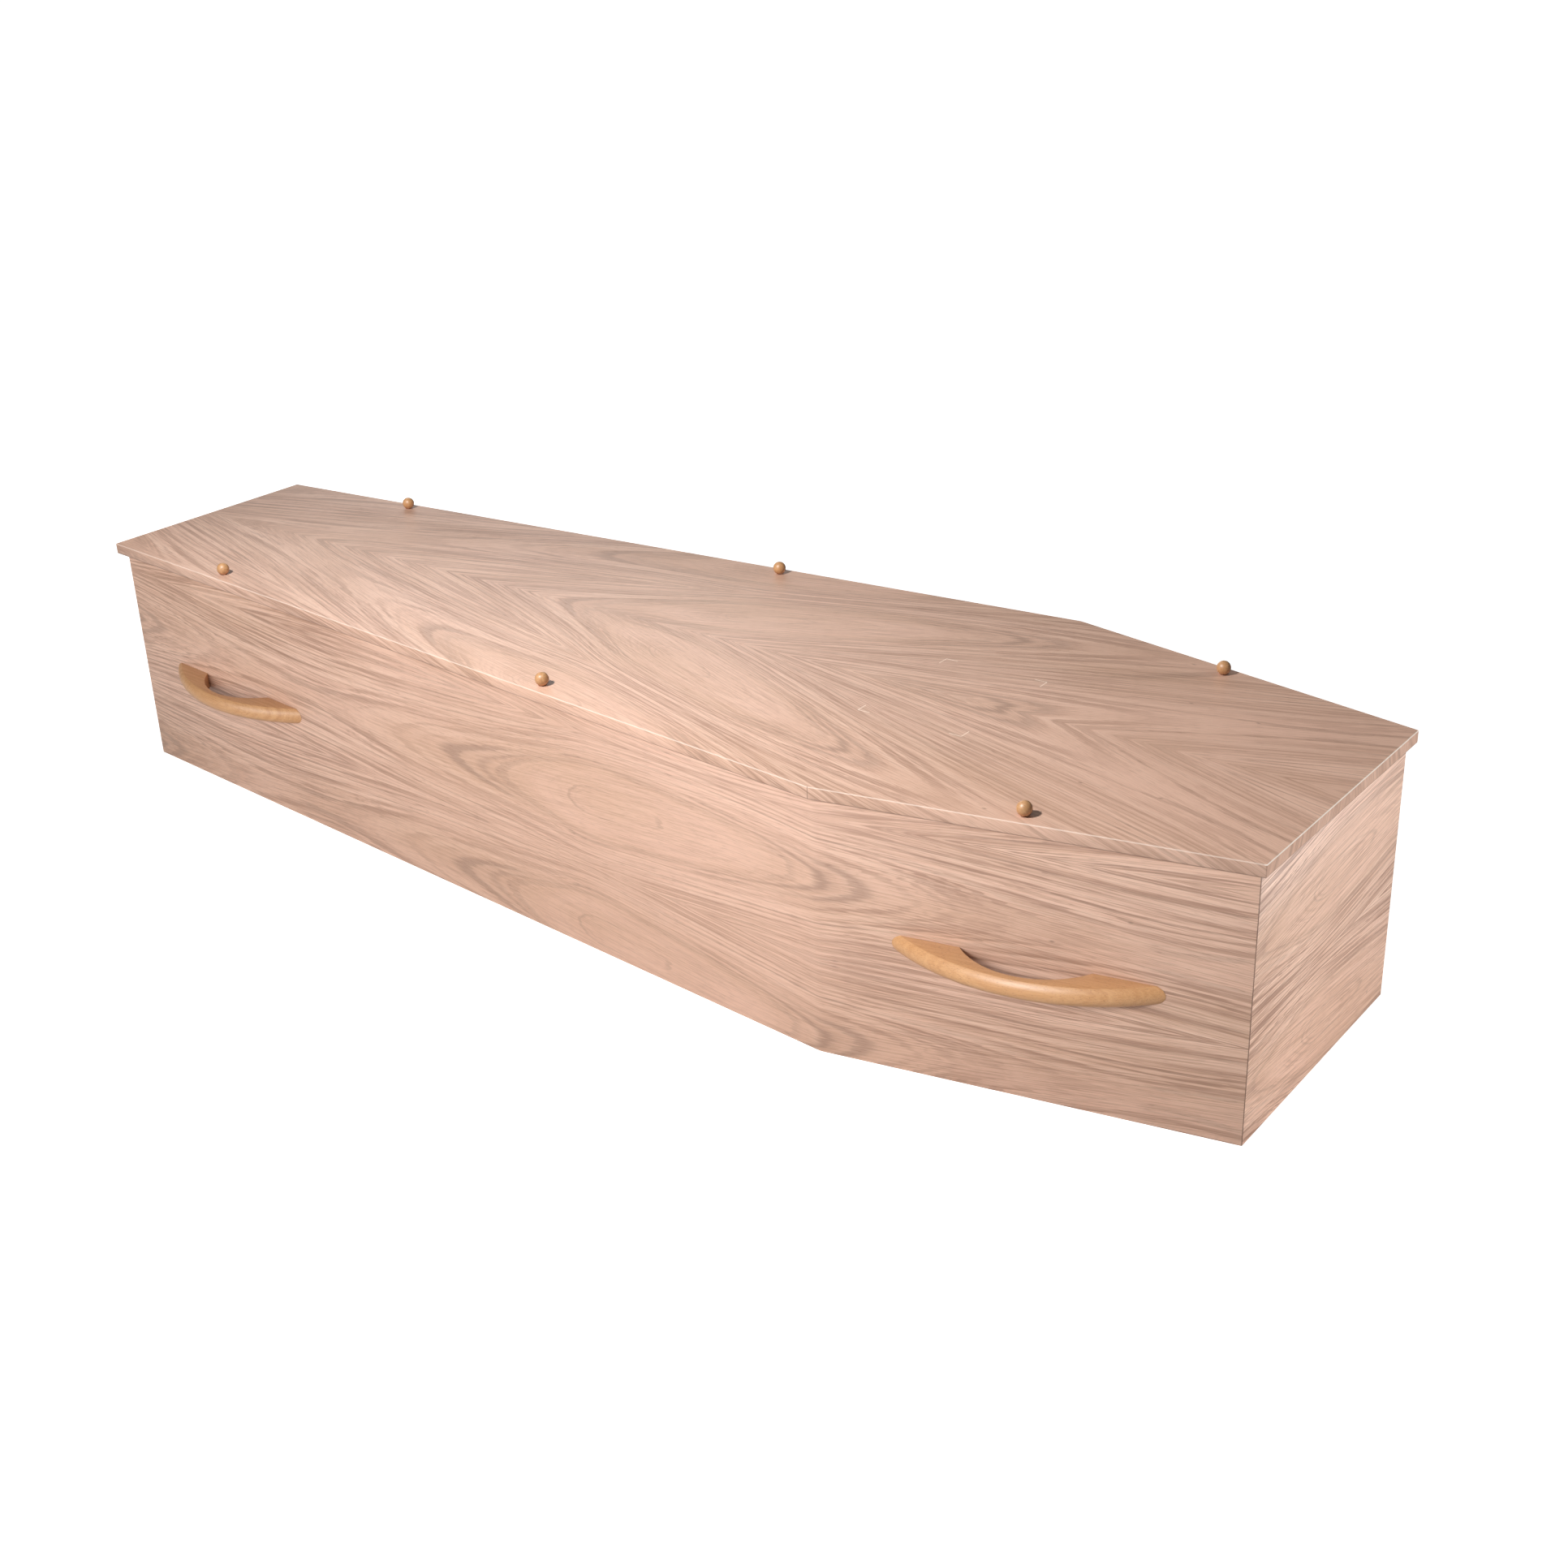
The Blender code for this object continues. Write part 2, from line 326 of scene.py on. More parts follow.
# %% [markdown]
# Each long side is a single board that is scored on its inner face and bent at the shoulder, so the
# grain runs round the bend. The shape follows the making: the board's end face is extruded along
# the leg side, spun round the bend and extruded again along the head side. Both ends are then cut
# on the mitre, where the side meets an end board.

# %% Model the side boards
BEND_STEPS = 10
ARRIS = 0.0004
ARRIS_SEGMENTS = 2
SPARE_LENGTH = 0.030

leg_way = (outer_shoulder - outer_foot).normalized()
head_way = (outer_head - outer_shoulder).normalized()
bend_angle = leg_way.angle(head_way)
bend_reach = SHOULDER_BEND_RADIUS * math.tan(bend_angle / 2)
bend_start = outer_shoulder - leg_way * bend_reach
bend_end = outer_shoulder + head_way * bend_reach
bend_centre = bend_start + Vector((leg_way.y, -leg_way.x, 0.0)) * SHOULDER_BEND_RADIUS
leg_length = (bend_start - outer_foot).length
arc_length = SHOULDER_BEND_RADIUS * bend_angle


def length_along_side(corner):
    """How far along the bent board a point lies, measured from its foot corner on the outer face."""
    before = (corner - bend_start).dot(leg_way)
    after = (corner - bend_end).dot(head_way)
    if before <= 0:
        return leg_length + before
    if after >= 0:
        return leg_length + arc_length + after
    arm = Vector((corner.x - bend_centre.x, corner.y - bend_centre.y))
    start_arm = Vector((bend_start.x - bend_centre.x, bend_start.y - bend_centre.y))
    return leg_length + SHOULDER_BEND_RADIUS * abs(start_arm.angle(arm))


def mitre_plane(outer, inner, keep_towards):
    """The upright plane through a corner of the body, facing away from what is kept."""
    diagonal = (inner - outer).normalized()
    outward = Vector((diagonal.y, -diagonal.x, 0.0))
    if outward.dot(keep_towards) > 0:
        outward = -outward
    return outer - outward * JOINT_GAP / 2, outward


def model_left_side():
    """The left side board: extruded, spun round the bend, extruded again and mitred."""
    deselect_everything()
    inward = Vector((leg_way.y, -leg_way.x, 0.0))
    first_end = outer_foot - leg_way * SPARE_LENGTH + inward * WALL_THICKNESS / 2
    first_end.z = BODY_HEIGHT / 2
    bpy.ops.mesh.primitive_plane_add(
        size=1,
        location=first_end,
        rotation=(0.0, math.pi / 2, math.atan2(leg_way.y, leg_way.x)),
    )
    bpy.context.active_object.scale = (BODY_HEIGHT, WALL_THICKNESS, 1)
    side = name_new_piece("left_side_panel")
    start_editing(side, "FACE")
    bpy.ops.mesh.select_all(action="SELECT")
    leg_run = leg_way * (leg_length + SPARE_LENGTH)
    bpy.ops.mesh.extrude_region_move(TRANSFORM_OT_translate={"value": leg_run})
    bpy.ops.mesh.spin(steps=BEND_STEPS, angle=bend_angle, center=bend_centre, axis=(0, 0, 1))
    head_run = head_way * ((outer_head - bend_end).length + SPARE_LENGTH)
    bpy.ops.mesh.extrude_region_move(TRANSFORM_OT_translate={"value": head_run})
    stop_editing()
    turn_faces_outward(side)
    cut_away(side, *mitre_plane(outer_foot, inner_foot, leg_way))
    cut_away(side, *mitre_plane(outer_head, inner_head, -head_way))
    soften_edges(side, ARRIS, ARRIS_SEGMENTS, SHARP_EDGE)
    return side


def side_grain(corner, normal):
    """Along the bent board, up the board, and into its thickness."""
    flat = Vector((corner.x, abs(corner.y), 0.0))
    return length_along_side(flat), corner.z, 0.0


left_side = model_left_side()
right_side = copy_piece(left_side, "right_side_panel", Matrix.Scale(-1, 4, (0, 1, 0)))
for side, node in ((left_side, "left_side_board"), (right_side, "right_side_board")):
    store_grain(side, side_grain)
    shade_smooth(side)
    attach(side, "root")
    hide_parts(node)
side_length = leg_length + arc_length + (outer_head - bend_end).length
print("side length", round(side_length, 4))

# %% [markdown]
# The end boards are short straight boards. Each starts as a box that is a little too long, and its
# two ends are cut on the same mitre planes as the sides, seen from the other side of the joint.

# %% Model the end boards
def model_end(name, outer, inner, keep_towards):
    """An end board between the two sides, mitred at both ends."""
    thickness = abs(inner.x - outer.x)
    centre = ((inner.x + outer.x) / 2, 0.0, BODY_HEIGHT / 2)
    size = (thickness, 2 * outer.y + SPARE_LENGTH, BODY_HEIGHT)
    deselect_everything()
    bpy.ops.mesh.primitive_cube_add(size=1, location=centre, scale=size)
    board = name_new_piece(name)
    for side in (LEFT, RIGHT):
        place, outward = mitre_plane(outer, inner, keep_towards)
        place.y *= side
        outward.y *= side
        cut_away(board, place, outward)
    soften_edges(board, ARRIS, ARRIS_SEGMENTS, SHARP_EDGE)
    store_grain(board, lambda corner, normal: (corner.y, corner.z, 0.0))
    return board


to_middle = Vector((0.0, -1.0, 0.0))
foot_end = model_end("foot_end_panel", outer_foot, inner_foot, to_middle)
head_end = model_end("head_end_panel", outer_head, inner_head, to_middle)
for end, node in ((foot_end, "foot_end_board"), (head_end, "head_end_board")):
    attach(end, "root")
    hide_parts(node)
print("end boards", tuple(round(value, 4) for value in head_end.dimensions))

# %% [markdown]
# A bow handle is turned as part of a disc with a rounded rim, and then sawn out of it. The section
# of that rim is spun through the part of the circle that shows, cut flat where it meets the wall,
# and hollowed behind with a round cutter for the fingers. All four handles are alike, so one is
# modelled lying along X and copied to its places.

# %% Model the bow handle
HANDLE_LENGTH = 0.300
HANDLE_REACH = 0.046
HANDLE_HEIGHT = 0.023
HANDLE_BULGE = 0.006
HANDLE_FOOT_LENGTH = 0.072
HANDLE_BAR_DEPTH = 0.008
HANDLE_ARRIS = 0.0009
RIM_STEPS = 10
HANDLE_STEPS = 96
SPARE_TURN = 0.06
CUTTER_SIDES = 256
HANDLE_WOOD_STEP = (0.7, 0.3, 0.13)


def arc_radius(chord, rise):
    """Radius of the arc over a chord that rises this far above it."""
    return ((chord / 2) ** 2 + rise ** 2) / (2 * rise)


def model_handle():
    """One bow handle on the plane y = 0, reaching out along +Y."""
    disc_radius = arc_radius(HANDLE_LENGTH, HANDLE_REACH)
    rim_radius = arc_radius(HANDLE_HEIGHT, HANDLE_BULGE)
    disc_centre = Vector((0.0, HANDLE_REACH - disc_radius, 0.0))
    inner_y = -HANDLE_REACH
    deselect_everything()
    bpy.ops.mesh.primitive_plane_add(
        size=1, location=(0.0, (inner_y + HANDLE_REACH) / 2, 0.0), rotation=(0.0, math.pi / 2, 0.0)
    )
    bpy.context.active_object.scale = (HANDLE_HEIGHT, HANDLE_REACH - inner_y, 1)
    handle = name_new_piece("bow_handle")
    start_editing(handle, "EDGE")
    pick(handle, "EDGE", lambda edge: all(end.co.y > 0 for end in edge.verts))
    bpy.ops.mesh.subdivide(number_cuts=RIM_STEPS - 1)
    stop_editing()
    for corner in handle.data.vertices:
        if corner.co.y > 0:
            bulge = math.sqrt(rim_radius ** 2 - corner.co.z ** 2) - (rim_radius - HANDLE_BULGE)
            corner.co.y += bulge
    sweep = 2 * math.acos((disc_radius - HANDLE_REACH) / (disc_radius + HANDLE_BULGE)) + SPARE_TURN
    handle.data.transform(
        Matrix.Translation(disc_centre)
        @ Matrix.Rotation(sweep / 2, 4, "Z")
        @ Matrix.Translation(-disc_centre)
    )
    start_editing(handle, "FACE")
    bpy.ops.mesh.select_all(action="SELECT")
    bpy.ops.mesh.spin(steps=HANDLE_STEPS, angle=sweep, center=disc_centre, axis=(0, 0, 1))
    stop_editing()
    turn_faces_outward(handle)
    cut_away(handle, (0.0, JOINT_GAP, 0.0), (0.0, -1.0, 0.0))
    hollow_handle(handle)
    soften_edges(handle, HANDLE_ARRIS, RIM_SEGMENTS, SHARP_EDGE)
    return handle


def hollow_handle(handle):
    """Cut the round space for the fingers out of the handle's back."""
    gap_width = HANDLE_LENGTH - 2 * HANDLE_FOOT_LENGTH
    gap_depth = HANDLE_REACH - HANDLE_BAR_DEPTH
    gap_radius = arc_radius(gap_width, gap_depth)
    deselect_everything()
    bpy.ops.mesh.primitive_cylinder_add(
        vertices=CUTTER_SIDES, radius=gap_radius, depth=2 * HANDLE_HEIGHT,
        location=(0.0, gap_depth - gap_radius, 0.0),
    )
    cutter = name_new_piece("finger_gap_cutter")
    select_only(handle)
    hollow = handle.modifiers.new("finger_gap", "BOOLEAN")
    hollow.operation = "DIFFERENCE"
    hollow.object = cutter
    bpy.ops.object.modifier_apply(modifier=hollow.name)
    bpy.data.objects.remove(cutter)


def store_own_place(piece, offset):
    """Keep where each corner lies in the piece's own wood, before the piece is put in its place."""
    mesh = piece.data
    attribute = mesh.attributes.new("grain_place", "FLOAT_VECTOR", "POINT")
    for corner, slot in zip(mesh.vertices, attribute.data):
        slot.vector = corner.co + offset


handle_pattern = model_handle()
for number, (side_name, side) in enumerate((("right", RIGHT), ("left", LEFT))):
    for end_name, corner in (("foot", outer_foot), ("head", outer_head)):
        along = (outer_shoulder - corner).normalized()
        along.y *= side
        outward = Vector((-along.y, along.x, 0.0))
        if outward.y * side < 0:
            outward = -outward
        place = Vector((corner.x, corner.y * side, BODY_HEIGHT / 2)) + along * HANDLE_FROM_END
        turn = Matrix.Rotation(math.atan2(outward.y, outward.x) - math.pi / 2, 4, "Z")
        bow = copy_piece(handle_pattern, f"bow_handle_{side_name}_{end_name}", Matrix.Identity(4))
        step_along, step_across, step_into = HANDLE_WOOD_STEP
        own_wood = (step_along * number + along.x, step_across * number, step_into * along.x)
        store_own_place(bow, Vector(own_wood))
        bow.data.transform(Matrix.Translation(place) @ turn)
        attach(bow, "root")
        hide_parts(f"handle_{side_name}_{end_name}")
bpy.data.objects.remove(handle_pattern)
print("handles placed")

# %% [markdown]
# A turned ball covers each lid screw. It starts as a sphere, is cut flat where it sits on the lid,
# and its seat gets a small rounded edge. One ball is modelled and copied to the six screw places,
# which the frame's own knobs give.

# %% Model the ball knobs
KNOB_DIAMETER = 0.018
KNOB_SEAT_DIAMETER = 0.008
KNOB_ARRIS = 0.0003
KNOB_SEGMENTS = 64
KNOB_RINGS = 40
KNOB_WOOD_STEP = 0.05
KNOB_WOOD_SPREAD = 3
KNOB_TURN = 9


def model_knob():
    """One ball knob with its flat seat on z = 0."""
    radius = KNOB_DIAMETER / 2
    centre_height = math.sqrt(radius ** 2 - (KNOB_SEAT_DIAMETER / 2) ** 2)
    deselect_everything()
    bpy.ops.mesh.primitive_uv_sphere_add(
        segments=KNOB_SEGMENTS, ring_count=KNOB_RINGS, radius=radius,
        location=(0.0, 0.0, centre_height),
    )
    knob = name_new_piece("ball_knob")
    cut_away(knob, (0.0, 0.0, 0.0), (0.0, 0.0, -1.0))
    soften_edges(knob, KNOB_ARRIS, ARRIS_SEGMENTS, SHARP_EDGE)
    return knob


knob_pattern = model_knob()
for side_name in ("right", "left"):
    for number, place_name in enumerate(("foot", "middle", "head")):
        node = f"lid_knob_{side_name}_{place_name}"
        low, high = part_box(node)
        seat = Vector(((low.x + high.x) / 2, (low.y + high.y) / 2, low.z))
        ball = copy_piece(knob_pattern, f"ball_{side_name}_{place_name}", Matrix.Identity(4))
        own_wood = Vector((seat.x, seat.y * KNOB_WOOD_SPREAD, KNOB_WOOD_STEP * number))
        store_own_place(ball, own_wood)
        turn = Matrix.Rotation(number + seat.y * KNOB_TURN, 4, "Z")
        ball.data.transform(Matrix.Translation(seat) @ turn)
        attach(ball, "root")
        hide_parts(node)
bpy.data.objects.remove(knob_pattern)
print("knobs placed")

# %% [markdown]
# A wood material is mostly arithmetic on a place in the wood. This helper writes one Math node for
# each step, so that the formulas below can be read like formulas.

# %% Helpers for materials
FINISH = {"Color": "NodeSocketColor", "Roughness": "NodeSocketFloat", "Height": "NodeSocketFloat"}


class NodeMaths:
    """Writes Math, Noise and Mix nodes into a node tree."""

    def __init__(self, tree):
        self.tree = tree

    def node(self, kind):
        """Add a node of this kind."""
        return self.tree.nodes.new(kind)

    def feed(self, socket, value):
        """Link a socket to another, or set it to a plain value."""
        if isinstance(value, bpy.types.NodeSocket):
            self.tree.links.new(value, socket)
        else:
            socket.default_value = value

    def math(self, operation, *values):
        """One Math node."""
        node = self.node("ShaderNodeMath")
        node.operation = operation
        for socket, value in zip(node.inputs, values):
            self.feed(socket, value)
        return node.outputs[0]

    def add(self, *values):
        """The sum of all the values."""
        total = values[0]
        for value in values[1:]:
            total = self.math("ADD", total, value)
        return total

    def times(self, *values):
        """The product of all the values."""
        total = values[0]
        for value in values[1:]:
            total = self.math("MULTIPLY", total, value)
        return total

    def minus(self, first, second):
        """The first value less the second."""
        return self.math("SUBTRACT", first, second)

    def smooth(self, value, low, high):
        """Goes softly from 0 at low to 1 at high, or back where low is the greater."""
        node = self.node("ShaderNodeMapRange")
        node.interpolation_type = "SMOOTHSTEP"
        self.feed(node.inputs["Value"], value)
        first, second = (low, high) if low < high else (high, low)
        node.inputs["From Min"].default_value = first
        node.inputs["From Max"].default_value = second
        node.inputs["To Min"].default_value = 0.0 if low < high else 1.0
        node.inputs["To Max"].default_value = 1.0 if low < high else 0.0
        return node.outputs["Result"]

    def vector(self, x, y, z=0.0):
        """Join three values to a vector."""
        node = self.node("ShaderNodeCombineXYZ")
        for socket, value in zip(node.inputs, (x, y, z)):
            self.feed(socket, value)
        return node.outputs[0]

    def noise(self, place, detail=2.0, roughness=0.5, dimensions="2D"):
        """Cloudy noise between 0 and 1 at a place."""
        node = self.node("ShaderNodeTexNoise")
        node.noise_dimensions = dimensions
        node.inputs["Scale"].default_value = 1.0
        node.inputs["Detail"].default_value = detail
        node.inputs["Roughness"].default_value = roughness
        self.feed(node.inputs["W" if dimensions == "1D" else "Vector"], place)
        return node.outputs["Fac"]

    def layers(self, height):
        """Noise that changes with one value only, like the layers of a growing tree."""
        return self.noise(height, 1.0, 0.5, "1D")

    def grain(self, along, across, per_metre, detail=2.0, roughness=0.5, seed=0.0):
        """Noise that changes so many times per metre along and across the grain."""
        along_rate, across_rate = per_metre
        start = self.add(self.times(along, along_rate), seed)
        return self.noise(self.vector(start, self.times(across, across_rate)), detail, roughness)

    def mix(self, share, first, second):
        """Mix two colours."""
        node = self.node("ShaderNodeMix")
        node.data_type = "RGBA"
        self.feed(node.inputs["Factor"], share)
        self.feed(node.inputs[6], first)
        self.feed(node.inputs[7], second)
        return node.outputs[2]


def new_group(name, inputs, outputs):
    """A shader node group with these float inputs, given with their defaults, and these outputs."""
    group = bpy.data.node_groups.new(name, "ShaderNodeTree")
    for label, default in inputs.items():
        socket = group.interface.new_socket(label, in_out="INPUT", socket_type="NodeSocketFloat")
        socket.default_value = default
    for label, kind in outputs.items():
        group.interface.new_socket(label, in_out="OUTPUT", socket_type=kind)
    source = group.nodes.new("NodeGroupInput")
    sink = group.nodes.new("NodeGroupOutput")
    return group, source.outputs, sink.inputs


def use_group(tree, group, **values):
    """Place a group in a tree and feed its inputs by name, with _ for a space."""
    node = tree.nodes.new("ShaderNodeGroup")
    node.node_tree = group
    maths = NodeMaths(tree)
    for label, value in values.items():
        maths.feed(node.inputs[label.replace("_", " ").title()], value)
    return node.outputs


print("material helpers ready")

# %% [markdown]
# Oak that is cut along the tree shows its yearly layers as long nested loops, a crown figure. The
# foil's printer repeats one such leaf: along the roll the figure comes back after about a metre and
# a half, and across the roll every second leaf is mirrored, as a veneer maker opens two leaves like
# a book. So this group first folds any place on the roll into one leaf. Then it gives the height of
# the tree's layers there: the figure is a long cone, steep across the grain and shallow along it,
# sharper towards the foot than towards the head. Last it gives the way across the fibres, which lie
# at a small angle to the figure. Two noises let the layers wander, most at the ends of the loops.

# %% Group for the crown figure
LEAF_WIDTH = 0.187
EYE_TO_SEAM = 0.092
LEAF_BACK = 0.650
LEAF_AHEAD = 0.780
TIP_BACK = 0.110
TIP_AHEAD = 0.220
STEP_BACK = 0.047
STEP_AHEAD = 0.036
SADDLE_DEPTH = 0.075
EYE_SIZE = 0.006
AXIS_RISE = 0.003
AXIS_SWAY = 0.010
FIBRE_SWAY = 0.020
WANDER = 0.0034
WANDERS_PER_METRE = (4.0, 22.0)
SHIVER = 0.0030
SHIVERS_PER_METRE = (4.5, 210.0)


def make_figure_group():
    """Layer height and place across the fibres, for a place on the roll of foil."""
    outputs = dict.fromkeys(("Layer", "Fibre", "Leaf Along", "Steepness"), "NodeSocketFloat")
    inputs = {"Along": 0.0, "Across": 0.0, "Seed": 0.0}
    group, given, result = new_group("crown_figure", inputs, outputs)
    m = NodeMaths(group)
    along, seed = given["Along"], given["Seed"]
    leaf_along = m.math("WRAP", along, LEAF_AHEAD, -LEAF_BACK)
    from_seam = m.math("PINGPONG", m.add(given["Across"], EYE_TO_SEAM), LEAF_WIDTH)
    leaf_across = m.minus(from_seam, EYE_TO_SEAM)

    ahead = m.math("MAXIMUM", leaf_along, 0.0)
    back = m.math("MAXIMUM", m.times(leaf_along, -1.0), 0.0)
    tip_ahead = m.times(m.math("TANH", m.times(ahead, 1 / TIP_AHEAD)), STEP_AHEAD)
    tip_back = m.times(m.math("TANH", m.times(back, 1 / TIP_BACK)), STEP_BACK)
    slope_ahead = m.times(m.smooth(ahead, 0.0, LEAF_AHEAD), SADDLE_DEPTH - STEP_AHEAD)
    slope_back = m.times(m.smooth(back, 0.0, LEAF_BACK), SADDLE_DEPTH - STEP_BACK)
    depth = m.add(tip_ahead, tip_back, slope_ahead, slope_back)
    turn = m.math("SINE", m.times(leaf_along, 2 * math.pi / (LEAF_BACK + LEAF_AHEAD)))
    beside = m.minus(leaf_across, m.add(AXIS_RISE, m.times(turn, AXIS_SWAY)))
    square = m.add(m.times(beside, beside), m.times(depth, depth), EYE_SIZE ** 2)
    layer = m.math("SQRT", square)
    m.feed(result["Steepness"], m.math("DIVIDE", m.math("ABSOLUTE", beside), layer))

    wander = m.grain(along, from_seam, WANDERS_PER_METRE, 1.0, seed=seed)
    shiver = m.grain(along, from_seam, SHIVERS_PER_METRE, 2.0, seed=seed)
    layer = m.add(layer, m.times(m.minus(wander, 0.5), WANDER))
    m.feed(result["Layer"], m.add(layer, m.times(m.minus(shiver, 0.5), SHIVER)))
    m.feed(result["Fibre"], m.minus(leaf_across, m.times(turn, FIBRE_SWAY)))
    m.feed(result["Leaf Along"], leaf_along)
    return group


figure_group = make_figure_group()
print("group", figure_group.name)

# %% [markdown]
# The foil's print has several things in it: a pale pink ground that drifts in tone, darker and paler
# lines and threads that follow the layers where the grain runs straight, fine streaks along the
# fibres, soft grey-brown rings where the years end, two dark years that stand out at the ends of
# every loop, and very fine dashes from the open pores. Each is a noise stretched along the grain.
# A pair that ends in PER_METRE says how often it changes along and across. DARKS and PALES say from
# where to where in the noise a line comes in, and how strongly.

# %% Group for the printed oak foil
GROUND_PINK = (0.735, 0.468, 0.350, 1.0)
GROUND_TAN = (0.630, 0.392, 0.272, 1.0)
LINE_DARK = (0.330, 0.180, 0.120, 1.0)
LINE_PALE = (0.850, 0.600, 0.465, 1.0)
YEAR_COLOUR = (0.300, 0.182, 0.130, 1.0)
PORE_COLOUR = (0.300, 0.170, 0.120, 1.0)
DRIFTS_PER_METRE = (2.2, 8.0)
BANDS_PER_METRE = 30.0
DRIFT_SHARE = 0.6
BAND_SHARE = 0.5
TAN_RANGE = (0.35, 0.80)
LOOPS_END = 0.040
STRAIGHT_START = 0.070
STEEP_RANGE = (0.05, 0.45)
FLAT_CONTRAST = 0.35
BROADS_PER_METRE = (1.2, 60.0)
BROAD_RANGE = (0.46, 0.72)
BROAD_STRENGTH = 0.15
LINES_PER_METRE = (2.0, 170.0)
LINE_DARKS = (0.48, 0.66, 0.26)
LINE_PALES = (0.48, 0.34, 0.20)
THREADS_PER_METRE = (3.0, 400.0)
THREAD_DARKS = (0.50, 0.62, 1.0)
THREAD_PALES = (0.46, 0.36, 0.5)
THREAD_STRENGTH = 0.14
THREAD_EXTRA_STRAIGHT = 0.36
STREAKS_PER_METRE = (8.0, 560.0)
STREAK_DARKS = (0.50, 0.64, 0.28)
STREAK_PALES = (0.48, 0.36, 0.18)
YEARS_PER_METRE = 210.0
FIRST_YEAR = 3.3
YEAR_RANGE = (0.56, 0.70)
YEAR_STRENGTH = 0.30
BREAKS_PER_METRE = (9.0, 60.0)
BREAK_RANGE = (0.38, 0.62)
INNER_DARK_YEAR = 0.0530
INNER_DARK_WIDTH = 0.0011
INNER_STRENGTH = 0.18
INNER_EXTRA_HEAD = 0.34
INNER_EXTRA_BROKEN = 0.20
OUTER_DARK_YEAR = 0.0575
OUTER_DARK_WIDTH = 0.0015
OUTER_STRENGTH = 0.05
OUTER_EXTRA_FOOT = 0.26
OUTER_EXTRA_HEAD = 0.16
OUTER_EXTRA_BROKEN = 0.10
HEAD_LOOPS = (0.25, 0.40)
FOOT_LOOPS = (-0.12, -0.30)
PORES_PER_METRE = (55.0, 850.0)
PORE_RANGE = (0.58, 0.74)
PORE_STRENGTH = 0.20
PORE_EXTRA_RING = 0.3
FOIL_ROUGHNESS = 0.40
PORE_ROUGHNESS = 0.12
STREAK_ROUGHNESS = 0.08
STREAK_DEPTH = 0.4
PORE_DEPTH = 0.6
CRISP = 0.60


def paint_ground(m, run, across, layer):
    """The pink ground, which drifts in tone over the roll and with the layers."""
    drift = m.grain(run, across, DRIFTS_PER_METRE)
    bands = m.layers(m.times(layer, BANDS_PER_METRE))
    tone = m.add(m.times(drift, DRIFT_SHARE), m.times(bands, BAND_SHARE))
    tone = m.smooth(tone, *TAN_RANGE)
    return m.mix(tone, GROUND_PINK, GROUND_TAN)


def paint_lines(m, wood, noise, darks, pales, strength):
    """Paint the high parts of a noise darker and its low parts paler."""
    for (start, full, share), colour in ((darks, LINE_DARK), (pales, LINE_PALE)):
        wood = m.mix(m.times(m.smooth(noise, start, full), strength, share), wood, colour)
    return wood


def paint_straight_grain(m, wood, run, layer, steepness, contrast):
    """Bands, lines and threads that follow the layers, most where the grain runs straight."""
    straight = m.smooth(layer, LOOPS_END, STRAIGHT_START)
    steep = m.smooth(steepness, *STEEP_RANGE)
    contrast = m.times(contrast, m.add(FLAT_CONTRAST, m.times(steep, 1 - FLAT_CONTRAST)))
    strength = m.times(straight, contrast)
    broad = m.smooth(m.grain(run, layer, BROADS_PER_METRE, 1.0), *BROAD_RANGE)
    wood = m.mix(m.times(broad, strength, BROAD_STRENGTH), wood, LINE_DARK)
    lines = m.grain(run, layer, LINES_PER_METRE, 2.0, CRISP)
    wood = paint_lines(m, wood, lines, LINE_DARKS, LINE_PALES, strength)
    threads = m.grain(run, layer, THREADS_PER_METRE, 2.0, CRISP)
    strength = m.add(THREAD_STRENGTH, m.times(straight, THREAD_EXTRA_STRAIGHT))
    strength = m.times(strength, contrast)
    return paint_lines(m, wood, threads, THREAD_DARKS, THREAD_PALES, strength)


def add_dark_year(m, wood, layer, height, width, strength):
    """One year that stands out darker than the others, with soft sides."""
    apart = m.times(m.minus(layer, height), 1 / width)
    dark = m.math("EXPONENT", m.times(apart, apart, -1.0))
    return m.mix(m.times(dark, strength), wood, YEAR_COLOUR)


def paint_years(m, wood, run, layer, leaf_along):
    """The broken rings where the years end, and the two dark years. Gives the colour and the rings."""
    broken = m.grain(run, layer, BREAKS_PER_METRE)
    years = m.layers(m.add(m.times(layer, YEARS_PER_METRE), FIRST_YEAR))
    rings = m.times(m.smooth(years, *YEAR_RANGE), m.smooth(broken, *BREAK_RANGE))
    wood = m.mix(m.times(rings, YEAR_STRENGTH), wood, YEAR_COLOUR)
    at_head_end = m.smooth(leaf_along, *HEAD_LOOPS)
    at_foot_end = m.smooth(leaf_along, *FOOT_LOOPS)
    inner = m.add(INNER_STRENGTH, m.times(at_head_end, INNER_EXTRA_HEAD))
    inner = m.add(inner, m.times(broken, INNER_EXTRA_BROKEN))
    outer = m.add(OUTER_STRENGTH, m.times(at_foot_end, OUTER_EXTRA_FOOT))
    outer = m.add(outer, m.times(at_head_end, OUTER_EXTRA_HEAD), m.times(broken, OUTER_EXTRA_BROKEN))
    wood = add_dark_year(m, wood, layer, INNER_DARK_YEAR, INNER_DARK_WIDTH, inner)
    wood = add_dark_year(m, wood, layer, OUTER_DARK_YEAR, OUTER_DARK_WIDTH, outer)
    return wood, rings


